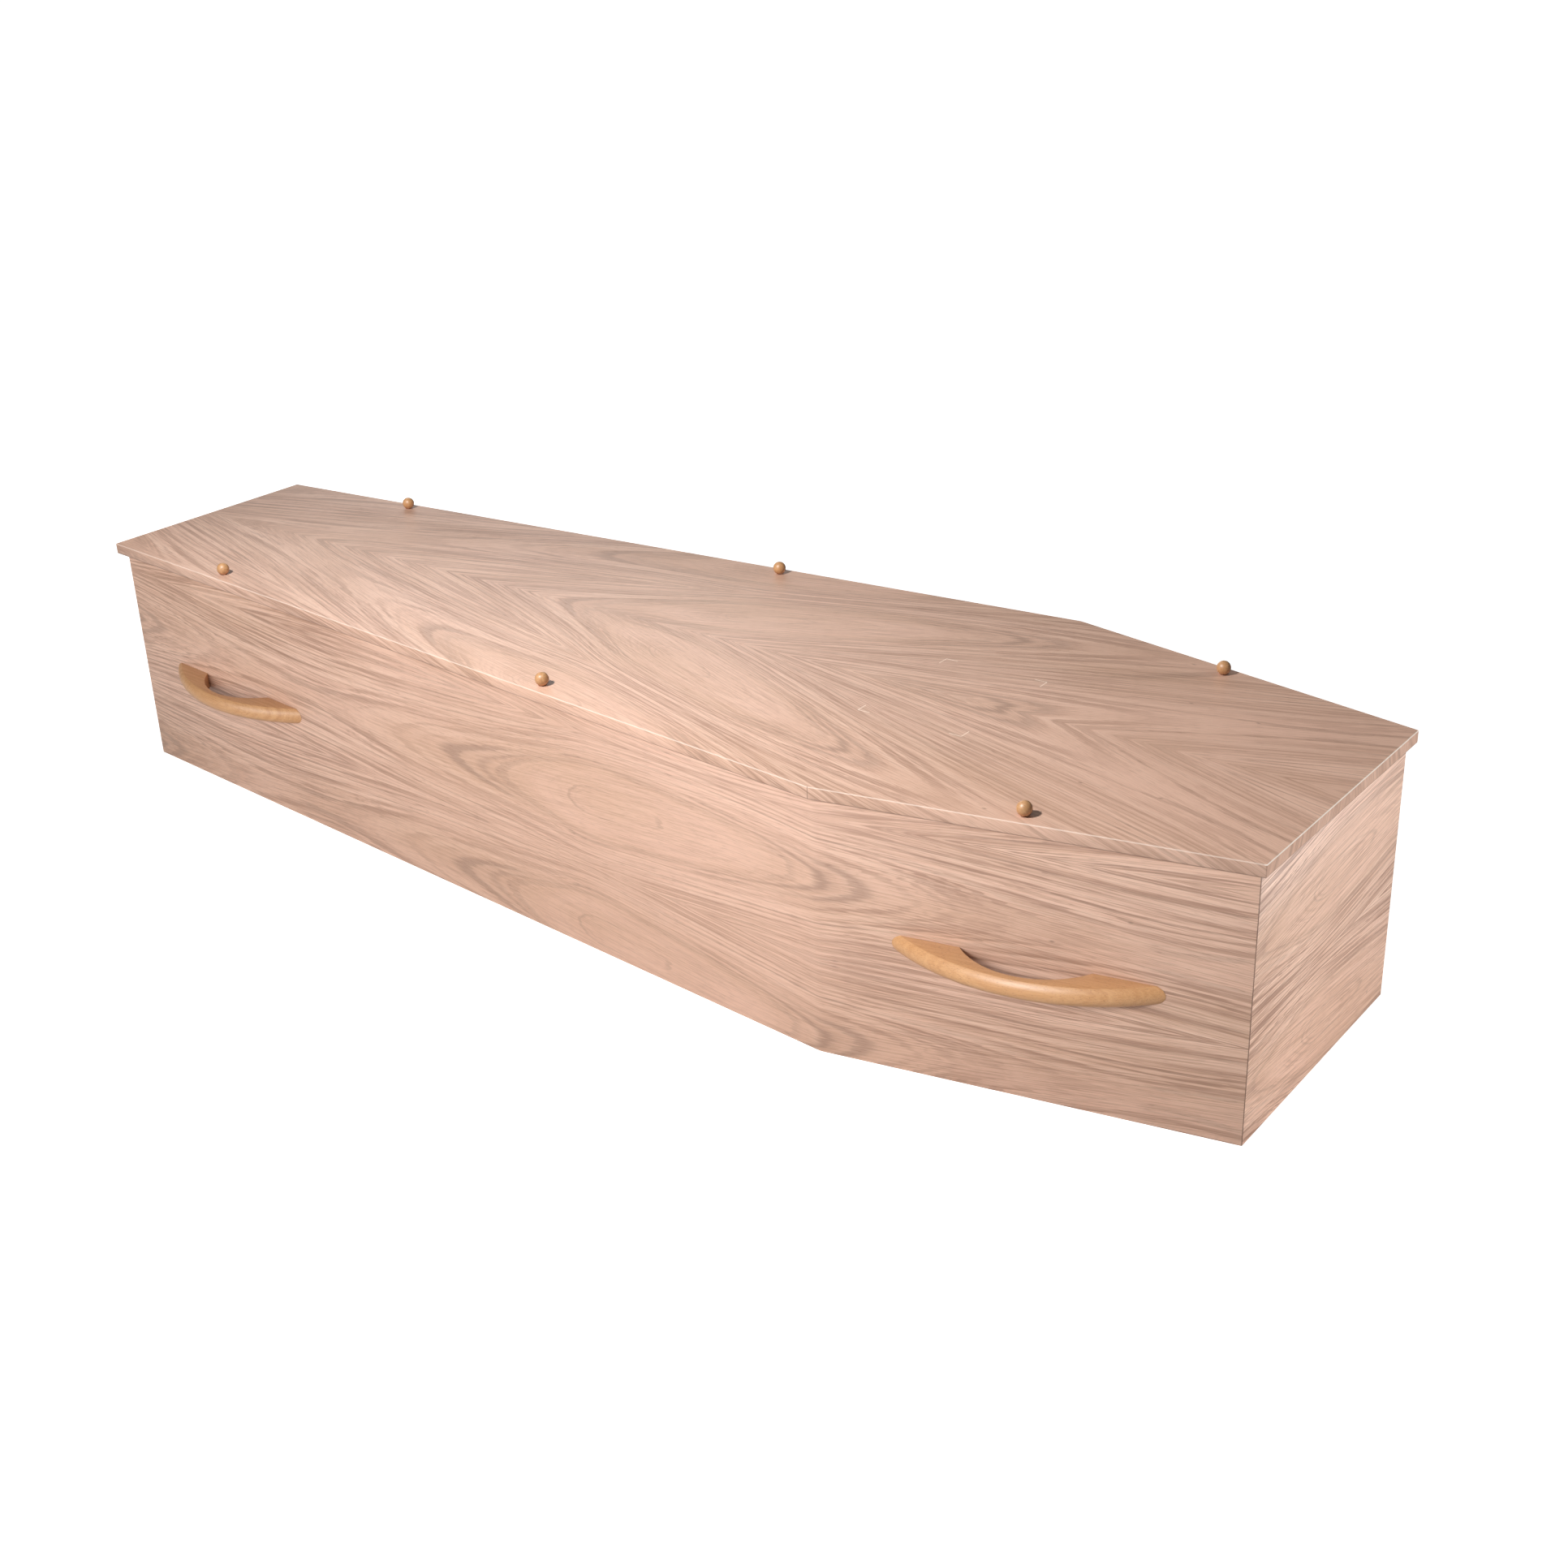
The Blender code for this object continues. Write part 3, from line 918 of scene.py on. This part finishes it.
def make_oak_group():
    """Colour, roughness and fine height of the foil at a place on the roll."""
    inputs = {"Along": 0.0, "Across": 0.0, "Seed": 0.0, "Contrast": 1.0}
    group, given, result = new_group("oak_foil", inputs, FINISH)
    m = NodeMaths(group)
    along, across, seed, contrast = (given[label] for label in inputs)
    figure = use_group(group, figure_group, along=along, across=across, seed=seed)
    layer, fibre = figure["Layer"], figure["Fibre"]
    run = m.add(along, seed)
    wood = paint_ground(m, run, across, layer)
    wood = paint_straight_grain(m, wood, run, layer, figure["Steepness"], contrast)
    streaks = m.grain(run, fibre, STREAKS_PER_METRE, 2.0, CRISP)
    wood = paint_lines(m, wood, streaks, STREAK_DARKS, STREAK_PALES, contrast)
    wood, rings = paint_years(m, wood, run, layer, figure["Leaf Along"])
    pore = m.smooth(m.grain(run, fibre, PORES_PER_METRE, 1.0), *PORE_RANGE)
    pore_strength = m.add(PORE_STRENGTH, m.times(rings, PORE_EXTRA_RING))
    roughness = m.add(FOIL_ROUGHNESS, m.times(pore, PORE_ROUGHNESS), m.times(streaks, STREAK_ROUGHNESS))
    m.feed(result["Color"], m.mix(m.times(pore, pore_strength), wood, PORE_COLOUR))
    m.feed(result["Roughness"], roughness)
    m.feed(result["Height"], m.minus(m.times(streaks, -STREAK_DEPTH), m.times(pore, PORE_DEPTH)))
    return group


oak_group = make_oak_group()
print("group", oak_group.name)

# %% [markdown]
# Every board's material is built the same way: the board tells which place of the roll lies where,
# the shared foil group gives the print, and the result goes into the board's own shader. A slight
# clear coat stands for the satin lacquer on the foil.

# %% Build a board material
FOIL_BUMP = 0.00004
FOIL_COAT = 0.30
FOIL_COAT_ROUGHNESS = 0.35
KNOT_RADIUS = 0.0022
KNOT_STRETCH = 0.45
KNOT_STRENGTH = 0.8


def start_wood_material(name):
    """A material with its shader, and the place in the wood that the mesh carries."""
    material = bpy.data.materials.new(name)
    material.use_nodes = True
    tree = material.node_tree
    carried = tree.nodes.new("ShaderNodeAttribute")
    carried.attribute_name = "grain_place"
    split = tree.nodes.new("ShaderNodeSeparateXYZ")
    tree.links.new(carried.outputs["Vector"], split.inputs[0])
    return material, tree, split.outputs


def feed_shader(tree, finish, colour, bump_distance, coat, coat_roughness):
    """Feed a finish into the shader, under a clear coat."""
    shader = tree.nodes["Principled BSDF"]
    bump = tree.nodes.new("ShaderNodeBump")
    bump.inputs["Distance"].default_value = bump_distance
    tree.links.new(finish["Height"], bump.inputs["Height"])
    tree.links.new(colour, shader.inputs["Base Color"])
    tree.links.new(finish["Roughness"], shader.inputs["Roughness"])
    tree.links.new(bump.outputs["Normal"], shader.inputs["Normal"])
    shader.inputs["Coat Weight"].default_value = coat
    shader.inputs["Coat Roughness"].default_value = coat_roughness


def add_pin_knots(m, colour, along, across, knots):
    """Small dark pin knots at these places of the board."""
    for knot_along, knot_across in knots:
        x = m.times(m.minus(along, knot_along), KNOT_STRETCH)
        y = m.minus(across, knot_across)
        distance = m.math("SQRT", m.add(m.times(x, x), m.times(y, y)))
        knot = m.times(m.smooth(distance, KNOT_RADIUS, 0.0), KNOT_STRENGTH)
        colour = m.mix(knot, colour, YEAR_COLOUR)
    return colour


def finish_board_material(material, roll_along, roll_across, seed, contrast, change_colour=None):
    """Feed a place on the roll through the foil group into the shader."""
    tree = material.node_tree
    place = {"along": roll_along, "across": roll_across, "seed": seed}
    foil = use_group(tree, oak_group, contrast=contrast, **place)
    colour = foil["Color"]
    if change_colour:
        colour = change_colour(colour)
    feed_shader(tree, foil, colour, FOIL_BUMP, FOIL_COAT, FOIL_COAT_ROUGHNESS)
    return material


print("board material ready")

# %% [markdown]
# On the lid the foil is laid as two mirrored halves that meet on the centre line, each cut from the
# roll at an angle. The mirrored slanting grain draws a row of arrow heads along that line. Taking
# the distance from the centre line does the mirroring, and turning the place about the figure's eye
# does the slanted cut. Four pale corner marks show where a nameplate goes.

# %% Material of the lid
LID_EYE_ALONG = 0.075
LID_EYE_ACROSS = 0.080
LID_SLANT = math.atan(0.305)
LID_STEP = 0.15
LID_SEED = 0.0
LID_CONTRAST = 1.05
LID_HEAD_CALM = -0.45
LID_CALM_RANGE = (0.35, 0.75)
NAMEPLATE_CENTRE = 0.456
NAMEPLATE_HALF_LENGTH = 0.074
NAMEPLATE_HALF_WIDTH = 0.0985
MARK_LEG = 0.017
MARK_WIDTH = 0.0013
MARK_STRENGTH = 0.75
MARK_COLOUR = (0.98, 0.80, 0.66, 1.0)
# Painted highlight along the lid's rims: its colour, the band of the rim it covers, and its strength.
RIM_HIGHLIGHT_COLOUR = (0.98, 0.86, 0.76, 1.0)
RIM_HIGHLIGHT_TOP = (0.0, 0.0003)
RIM_HIGHLIGHT_BOTTOM = (0.0015, 0.0010)
RIM_HIGHLIGHT = 0.42
RIM_HIGHLIGHT_HEAD = 0.58
HEAD_HIGHLIGHT_RANGE = (lid_high.x - 0.004, lid_high.x - 0.001)
# Painted shade along the lower edge of the lid's rim.
LOWER_ARRIS_SHADE_RANGE = (LID_THICKNESS - 0.0018, LID_THICKNESS - 0.0010)
LOWER_ARRIS_SHADE_STRENGTH = 0.50
SEAM_HALF_WIDTH = 0.0005
SEAM_DEPTH = 0.0006
SEAM_STRENGTH = 0.75
# Dark colour of the foil's seams and mitre lines, also used for the painted shade under the lid's rim.
SEAM_AND_SHADE_COLOUR = (0.25, 0.15, 0.11, 1.0)
LID_KNOTS = ((0.7093, 0.134), (0.8022, 0.122), (0.655, 0.248))


def paint_nameplate_marks(m, colour, along, across):
    """Four thin pale corners on the lid."""
    from_centre = m.math("ABSOLUTE", m.minus(along, NAMEPLATE_CENTRE))
    half_width = MARK_WIDTH / 2
    half_leg = MARK_LEG / 2
    on_end = m.math("COMPARE", from_centre, NAMEPLATE_HALF_LENGTH, half_width)
    on_side = m.math("COMPARE", across, NAMEPLATE_HALF_WIDTH, half_width)
    near_end = m.math("COMPARE", from_centre, NAMEPLATE_HALF_LENGTH - half_leg, half_leg)
    near_side = m.math("COMPARE", across, NAMEPLATE_HALF_WIDTH - half_leg, half_leg)
    mark = m.math("MAXIMUM", m.times(on_end, near_side), m.times(on_side, near_end))
    return m.mix(m.times(mark, MARK_STRENGTH), colour, MARK_COLOUR)


def paint_rim_highlight(m, colour, along, drop):
    """Painted highlight along the rounded rim where the foil folds over, strongest at the head."""
    rim_highlight_mask = m.times(m.smooth(drop, *RIM_HIGHLIGHT_TOP), m.smooth(drop, *RIM_HIGHLIGHT_BOTTOM))
    highlight_at_head = m.smooth(along, *HEAD_HIGHLIGHT_RANGE)
    pale = m.add(RIM_HIGHLIGHT, m.times(highlight_at_head, RIM_HIGHLIGHT_HEAD))
    return m.mix(m.times(rim_highlight_mask, pale), colour, RIM_HIGHLIGHT_COLOUR)


def paint_lower_arris_shade(m, colour, drop):
    """Painted shade, a fine dark line under the rim, where the lid's lower edge lies in shadow."""
    arris_shade_mask = m.smooth(drop, *LOWER_ARRIS_SHADE_RANGE)
    return m.mix(m.times(arris_shade_mask, LOWER_ARRIS_SHADE_STRENGTH), colour, SEAM_AND_SHADE_COLOUR)


def paint_edge_seams(m, colour, along, across):
    """The dark butt seams of the foil on the lid's edges, at the shoulders."""
    at_shoulder = m.math("COMPARE", along, shoulder_x, SEAM_HALF_WIDTH)
    below_rim = m.math("GREATER_THAN", across, LID_SHOULDER_WIDTH / 2 - SEAM_DEPTH)
    return m.mix(m.times(at_shoulder, below_rim, SEAM_STRENGTH), colour, SEAM_AND_SHADE_COLOUR)


def make_lid_material():
    """The slanted, mirrored foil of the lid."""
    material, tree, (along, signed_across, drop) = start_wood_material("oak_foil_lid")
    m = NodeMaths(tree)
    across = m.math("ABSOLUTE", signed_across)
    ahead = m.minus(along, LID_EYE_ALONG)
    aside = m.minus(across, LID_EYE_ACROSS)
    cosine, sine = math.cos(LID_SLANT), math.sin(LID_SLANT)
    roll_across = m.minus(m.times(aside, cosine), m.times(ahead, sine))
    roll_along = m.add(m.times(ahead, cosine), m.times(aside, sine), m.times(roll_across, LID_STEP))

    def change_colour(colour):
        colour = add_pin_knots(m, colour, along, across, LID_KNOTS)
        colour = paint_nameplate_marks(m, colour, along, across)
        # Painted highlight along the rims, strongest on the head edge.
        colour = paint_rim_highlight(m, colour, along, drop)
        # Painted shade along the lower edge of the rim.
        colour = paint_lower_arris_shade(m, colour, drop)
        return paint_edge_seams(m, colour, along, across)

    towards_head = m.smooth(along, *LID_CALM_RANGE)
    contrast = m.add(LID_CONTRAST, m.times(towards_head, LID_HEAD_CALM))
    return finish_board_material(material, roll_along, roll_across, LID_SEED, contrast, change_colour)


lid.data.materials.append(make_lid_material())
print("lid material done")

# %% [markdown]
# The sides carry the same foil lying straight along the board, with one of its mirror seams a
# little below the middle. The eye of the figure lies on the leg part, and its loops run out round
# the bend. The hidden left side gets the same print from another place on the roll.

# %% Materials of the side boards
SIDE_SEAM_HEIGHT = 0.125
SIDE_CONTRAST = 0.75
FOOT_EXTRA_CONTRAST = 0.50
FOOT_EXTRA_RANGE = (0.75, 0.35)
HEAD_EXTRA_CONTRAST = 0.45
HEAD_EXTRA_RANGE = (1.38, 1.56)
MITRE_LINE_WIDTH = 0.0009
MITRE_STRENGTH = 0.70
RIGHT_EYE_ALONG = 1.045
RIGHT_SEED = 20.0
LEFT_EYE_ALONG = 0.780
LEFT_SEED = 50.0
SIDE_KNOTS = ((1.7003, 0.2105), (1.7876, 0.2519))


def darken_mitre(m, colour, along, mitre_at):
    """The shadowed hair line where two boards meet on the mitre."""
    line = m.math("GREATER_THAN", along, mitre_at - MITRE_LINE_WIDTH)
    return m.mix(m.times(line, MITRE_STRENGTH), colour, SEAM_AND_SHADE_COLOUR)


def make_side_material(name, eye_along, seed, knots):
    """The foil of a side, with the eye of its figure this far along the board."""
    material, tree, (along, height, _) = start_wood_material(name)
    m = NodeMaths(tree)
    roll_along = m.minus(along, eye_along)
    roll_across = m.minus(m.minus(height, SIDE_SEAM_HEIGHT), EYE_TO_SEAM)

    def change_colour(colour):
        colour = add_pin_knots(m, colour, along, height, knots)
        return darken_mitre(m, colour, along, side_length)

    foot_extra = m.times(m.smooth(along, *FOOT_EXTRA_RANGE), FOOT_EXTRA_CONTRAST)
    head_extra = m.times(m.smooth(along, *HEAD_EXTRA_RANGE), HEAD_EXTRA_CONTRAST)
    contrast = m.add(SIDE_CONTRAST, foot_extra, head_extra)
    return finish_board_material(material, roll_along, roll_across, seed, contrast, change_colour)


shown_foil = make_side_material("oak_foil_right_side", RIGHT_EYE_ALONG, RIGHT_SEED, SIDE_KNOTS)
hidden_foil = make_side_material("oak_foil_left_side", LEFT_EYE_ALONG, LEFT_SEED, ())
right_side.data.materials.append(shown_foil)
left_side.data.materials.append(hidden_foil)
print("side materials done")

# %% [markdown]
# On the end boards the grain lies across the coffin, and the print stands out most. The shown one
# has the eye of the figure at its middle, well up the board. The hidden one is cut a little further
# along the roll.

# %% Material of the end boards
END_EYE_HEIGHT = 0.246
END_CONTRAST = 1.85
END_KNOTS = ((0.1438, 0.0286),)
HEAD_EYE_ACROSS = 0.0
HEAD_SEED = 30.0
FOOT_EYE_ACROSS = -0.3
FOOT_SEED = 60.0


def make_end_material(name, eye_across, seed, knots):
    """The foil of an end board, with the eye of its figure at this place across the coffin."""
    material, tree, (along, height, _) = start_wood_material(name)
    m = NodeMaths(tree)
    roll_along = m.minus(along, eye_across)
    roll_across = m.minus(height, END_EYE_HEIGHT)

    def change_colour(colour):
        colour = add_pin_knots(m, colour, along, height, knots)
        return darken_mitre(m, colour, m.math("ABSOLUTE", along), outer_head.y)

    return finish_board_material(material, roll_along, roll_across, seed, END_CONTRAST, change_colour)


head_foil = make_end_material("oak_foil_head_end", HEAD_EYE_ACROSS, HEAD_SEED, END_KNOTS)
foot_foil = make_end_material("oak_foil_foot_end", FOOT_EYE_ACROSS, FOOT_SEED, ())
head_end.data.materials.append(head_foil)
foot_end.data.materials.append(foot_foil)
print("end materials done")

# %% [markdown]
# The base board is hardly seen, so its frame solid stays and gets the same foil without knots or
# seams. It has no place of its own stored, so its material reads Object coordinates.

# %% Material of the base board
BASE_SEED = 90.0
BASE_CONTRAST = 1.0


def make_base_material():
    """The foil on the base board, along the coffin."""
    material = bpy.data.materials.new("oak_foil_base")
    material.use_nodes = True
    tree = material.node_tree
    place = tree.nodes.new("ShaderNodeTexCoord")
    split = tree.nodes.new("ShaderNodeSeparateXYZ")
    tree.links.new(place.outputs["Object"], split.inputs[0])
    along, across = split.outputs[0], split.outputs[1]
    return finish_board_material(material, along, across, BASE_SEED, BASE_CONTRAST)


base = frame["nodes"]["base_board"]
base.data.materials.clear()
base.data.materials.append(make_base_material())
print("base material done")

# %% [markdown]
# Handles and balls are steamed beech under a satin lacquer: an even, warm golden brown with faint
# long streaks and the tiny dark flecks that beech always has.

# %% Material of the beech pieces
BEECH_LIGHT = (0.640, 0.352, 0.163, 1.0)
BEECH_DARK = (0.520, 0.254, 0.101, 1.0)
BEECH_FLECK = (0.320, 0.140, 0.055, 1.0)
BEECH_WANDERS_PER_METRE = (10.0, 40.0)
BEECH_WANDER = 0.006
BEECH_TILT = (0.9, 0.25)
BEECH_RINGS_PER_METRE = 260.0
BEECH_RING_SHARE = 0.45
BEECH_STREAKS_PER_METRE = (22.0, 620.0)
BEECH_STREAK_SHARE = 0.55
BEECH_DARK_RANGE = (0.25, 0.75)
BEECH_FLECKS_PER_METRE = (330.0, 1300.0)
FLECK_RANGE = (0.64, 0.76)
FLECK_STRENGTH = 0.45
BEECH_ROUGHNESS = 0.42
BEECH_STREAK_ROUGHNESS = 0.12
BEECH_BUMP = 0.00003
BEECH_COAT = 0.80
BEECH_COAT_ROUGHNESS = 0.42


def make_beech_group():
    """Colour, roughness and height of lacquered beech, from a place in the piece's own wood."""
    inputs = {"Along": 0.0, "Across": 0.0, "Into": 0.0}
    group, given, result = new_group("beech", inputs, FINISH)
    m = NodeMaths(group)
    along, across, into = (given[label] for label in inputs)

    def solid_noise(per_metre, detail):
        """Noise through the whole of the wood, not only on its surface."""
        along_rate, cross_rate = per_metre
        cross = (m.times(across, cross_rate), m.times(into, cross_rate))
        return m.noise(m.vector(m.times(along, along_rate), *cross), detail, 0.5, "3D")

    wander = m.grain(along, across, BEECH_WANDERS_PER_METRE)
    tilt_across, tilt_into = BEECH_TILT
    layer = m.add(m.times(across, tilt_across), m.times(into, tilt_into))
    layer = m.add(layer, m.times(wander, BEECH_WANDER))
    rings = m.layers(m.times(layer, BEECH_RINGS_PER_METRE))
    streaks = solid_noise(BEECH_STREAKS_PER_METRE, 2.0)
    tone = m.add(m.times(rings, BEECH_RING_SHARE), m.times(streaks, BEECH_STREAK_SHARE))
    wood = m.mix(m.smooth(tone, *BEECH_DARK_RANGE), BEECH_LIGHT, BEECH_DARK)
    fleck = m.smooth(solid_noise(BEECH_FLECKS_PER_METRE, 0.0), *FLECK_RANGE)
    m.feed(result["Color"], m.mix(m.times(fleck, FLECK_STRENGTH), wood, BEECH_FLECK))
    m.feed(result["Roughness"], m.add(BEECH_ROUGHNESS, m.times(streaks, BEECH_STREAK_ROUGHNESS)))
    m.feed(result["Height"], m.times(fleck, -1.0))
    return group


beech_group = make_beech_group()


def make_beech_material():
    """Lacquered beech for handles and balls."""
    material, tree, (along, across, into) = start_wood_material("lacquered_beech")
    beech = use_group(tree, beech_group, along=along, across=across, into=into)
    feed_shader(tree, beech, beech["Color"], BEECH_BUMP, BEECH_COAT, BEECH_COAT_ROUGHNESS)
    return material


beech_material = make_beech_material()
for thing in bpy.data.objects:
    if thing.name.startswith(("bow_handle", "ball_")):
        thing.data.materials.clear()
        thing.data.materials.append(beech_material)
print("beech material done")

# %% [markdown]
# A coffin is photographed like furniture, with small lamps, soft boxes and cards. One small key light
# above the shown side lights the lid and draws the short crisp shadows of the balls. Cards keep it
# off the walls, so they show no broad shadow of the lid or the handles. Two front boxes light the
# walls instead. In Blender, light linking does what the cards do: a collection names the pieces
# that a lamp may reach. The balls and the handles near the head get a lamp of their own. A low box
# and a low sun are kept to the lid, where they brighten its edges. Two boxes behind are there for
# their reflections, which give the lid its sheen. A low light from the head opens up the head end,
# and its twin lights the hidden side without a glare. The floor is plain and pale. What the camera
# sees of it is lifted to white, as in a studio with a lit floor, and this lift is kept away from the
# wood by asking for camera rays only. The surrounding beyond the floor's end is white to the camera
# in the same way, and lights the coffin only faintly.

# %% Light the studio
WORLD_STRENGTH = 0.11
KEY_PLACE = Vector((-0.15, -1.50, 2.00))
KEY_SIZE = (0.20, 0.20)
KEY_POWER = 65.0
HANDLE_PLACE = Vector((0.60, -1.70, 1.70))
HANDLE_BOX_SIZE = (0.30, 0.30)
HANDLE_POWER = 25.0
FRONT_PLACE = Vector((0.55, -2.20, 1.25))
FRONT_SIZE = (0.80, 0.50)
FRONT_POWER = 33.5
EDGE_PLACE = Vector((0.60, -2.60, 0.50))
EDGE_SIZE = (1.60, 0.40)
EDGE_POWER = 6.5
FOOT_PLACE = Vector((-1.20, -2.40, 1.00))
FOOT_SIZE = (1.50, 1.20)
FOOT_POWER = 28.0
SHEEN_PLACE = Vector((-2.45, 1.95, 1.60))
SHEEN_SIZE = (1.80, 1.00)
SHEEN_POWER = 7.8
FAR_SHEEN_PLACE = Vector((-1.60, 2.90, 1.70))
FAR_SHEEN_SIZE = (1.20, 1.00)
FAR_SHEEN_POWER = 2.0
HEAD_FROM = Vector((0.80, 0.60, 0.03))
HEAD_STRENGTH = 6.20
HEAD_SPREAD = math.radians(24)
RIM_FROM = Vector((0.80, 0.60, 0.04))
RIM_STRENGTH = 3.30
RIM_SPREAD = math.radians(8)
SHOWN_WALLS = ("right_side", "head_end", "foot_end", "base_board", "studio")
HIDDEN_SIDE = ("left_side", "bow_handle_left")
ALL_WALLS = SHOWN_WALLS + HIDDEN_SIDE
FLOOR_COLOUR = (0.75, 0.75, 0.75, 1.0)
FLOOR_ROUGHNESS = 0.9
FLOOR_SPECULAR = 0.1
FLOOR_LIFT = 0.90
FLOOR_SIZE = 80
FLOOR_DROP = 0.0005
WHITE = (1.0, 1.0, 1.0, 1.0)


def place_lamp(name, light, place, from_direction, lit, glossy):
    """Aim a lamp. It reaches the pieces whose names begin as lit says, or all where lit is empty."""
    lamp = bpy.data.objects.new(name, light)
    lamp.location = place
    lamp.rotation_euler = (-from_direction).to_track_quat("-Z", "Y").to_euler()
    lamp.visible_glossy = glossy
    bpy.context.scene.collection.objects.link(lamp)
    if lit:
        reached = bpy.data.collections.new(f"lit_by_{name}")
        for thing in bpy.data.objects:
            if thing.type == "MESH" and thing.name.startswith(lit):
                reached.objects.link(thing)
        lamp.light_linking.receiver_collection = reached


def add_sun(name, from_direction, strength, spread, lit, glossy=True):
    """A soft light that comes from this direction."""
    light = bpy.data.lights.new(name, "SUN")
    light.energy = strength
    light.angle = spread
    place_lamp(name, light, Vector(), from_direction, lit, glossy)


def add_soft_box(name, place, size, power, lit=(), glossy=True):
    """A rectangular soft box that looks at the middle of the lid."""
    light = bpy.data.lights.new(name, "AREA")
    light.shape = "RECTANGLE"
    light.size, light.size_y = size
    light.energy = power
    place_lamp(name, light, place, place - Vector((0.0, 0.0, lid_high.z)), lit, glossy)


def add_floor():
    """A plain pale floor that fills the view."""
    deselect_everything()
    bpy.ops.mesh.primitive_plane_add(size=FLOOR_SIZE, location=(0.0, 0.0, -FLOOR_DROP))
    floor = name_new_piece("studio_floor")
    material = bpy.data.materials.new("pale_floor")
    material.use_nodes = True
    tree = material.node_tree
    shader = tree.nodes["Principled BSDF"]
    shader.inputs["Base Color"].default_value = FLOOR_COLOUR
    shader.inputs["Roughness"].default_value = FLOOR_ROUGHNESS
    shader.inputs["Specular IOR Level"].default_value = FLOOR_SPECULAR
    shader.inputs["Emission Color"].default_value = WHITE
    seen = tree.nodes.new("ShaderNodeLightPath").outputs["Is Camera Ray"]
    lift = NodeMaths(tree).times(seen, FLOOR_LIFT)
    tree.links.new(lift, shader.inputs["Emission Strength"])
    floor.data.materials.append(material)


def light_world():
    """An even surrounding that lights faintly and is white to the camera, beyond the floor's end."""
    world = bpy.data.worlds.new("white_studio")
    world.use_nodes = True
    tree = world.node_tree
    background = tree.nodes["Background"]
    background.inputs["Color"].default_value = WHITE
    seen = tree.nodes.new("ShaderNodeLightPath").outputs["Is Camera Ray"]
    strength = NodeMaths(tree).math("MAXIMUM", seen, WORLD_STRENGTH)
    tree.links.new(strength, background.inputs["Strength"])
    bpy.context.scene.world = world


add_floor()
add_soft_box("key_box", KEY_PLACE, KEY_SIZE, KEY_POWER, ("lid_board",), glossy=False)
add_soft_box("ball_box", KEY_PLACE, KEY_SIZE, KEY_POWER, ("ball_",))
near_handles = ("bow_handle_right_head", "bow_handle_left_head")
add_soft_box("handle_box", HANDLE_PLACE, HANDLE_BOX_SIZE, HANDLE_POWER, near_handles)
add_soft_box("front_box", FRONT_PLACE, FRONT_SIZE, FRONT_POWER, ALL_WALLS + ("bow_handle_right",))
add_soft_box("foot_box", FOOT_PLACE, FOOT_SIZE, FOOT_POWER, ALL_WALLS + ("bow_handle_right_foot",))
add_soft_box("edge_box", EDGE_PLACE, EDGE_SIZE, EDGE_POWER, ("lid_board",))
add_soft_box("sheen_box", SHEEN_PLACE, SHEEN_SIZE, SHEEN_POWER)
add_soft_box("far_sheen_box", FAR_SHEEN_PLACE, FAR_SHEEN_SIZE, FAR_SHEEN_POWER)
head_pieces = SHOWN_WALLS + ("bow_handle_right",)
add_sun("head_fill", HEAD_FROM, HEAD_STRENGTH, HEAD_SPREAD, head_pieces)
add_sun("hidden_fill", HEAD_FROM, HEAD_STRENGTH, HEAD_SPREAD, HIDDEN_SIDE, glossy=False)
add_sun("head_rim", RIM_FROM, RIM_STRENGTH, RIM_SPREAD, ("lid_board",), glossy=False)
light_world()
bpy.context.scene.view_settings.view_transform = "Standard"
print("studio lit")
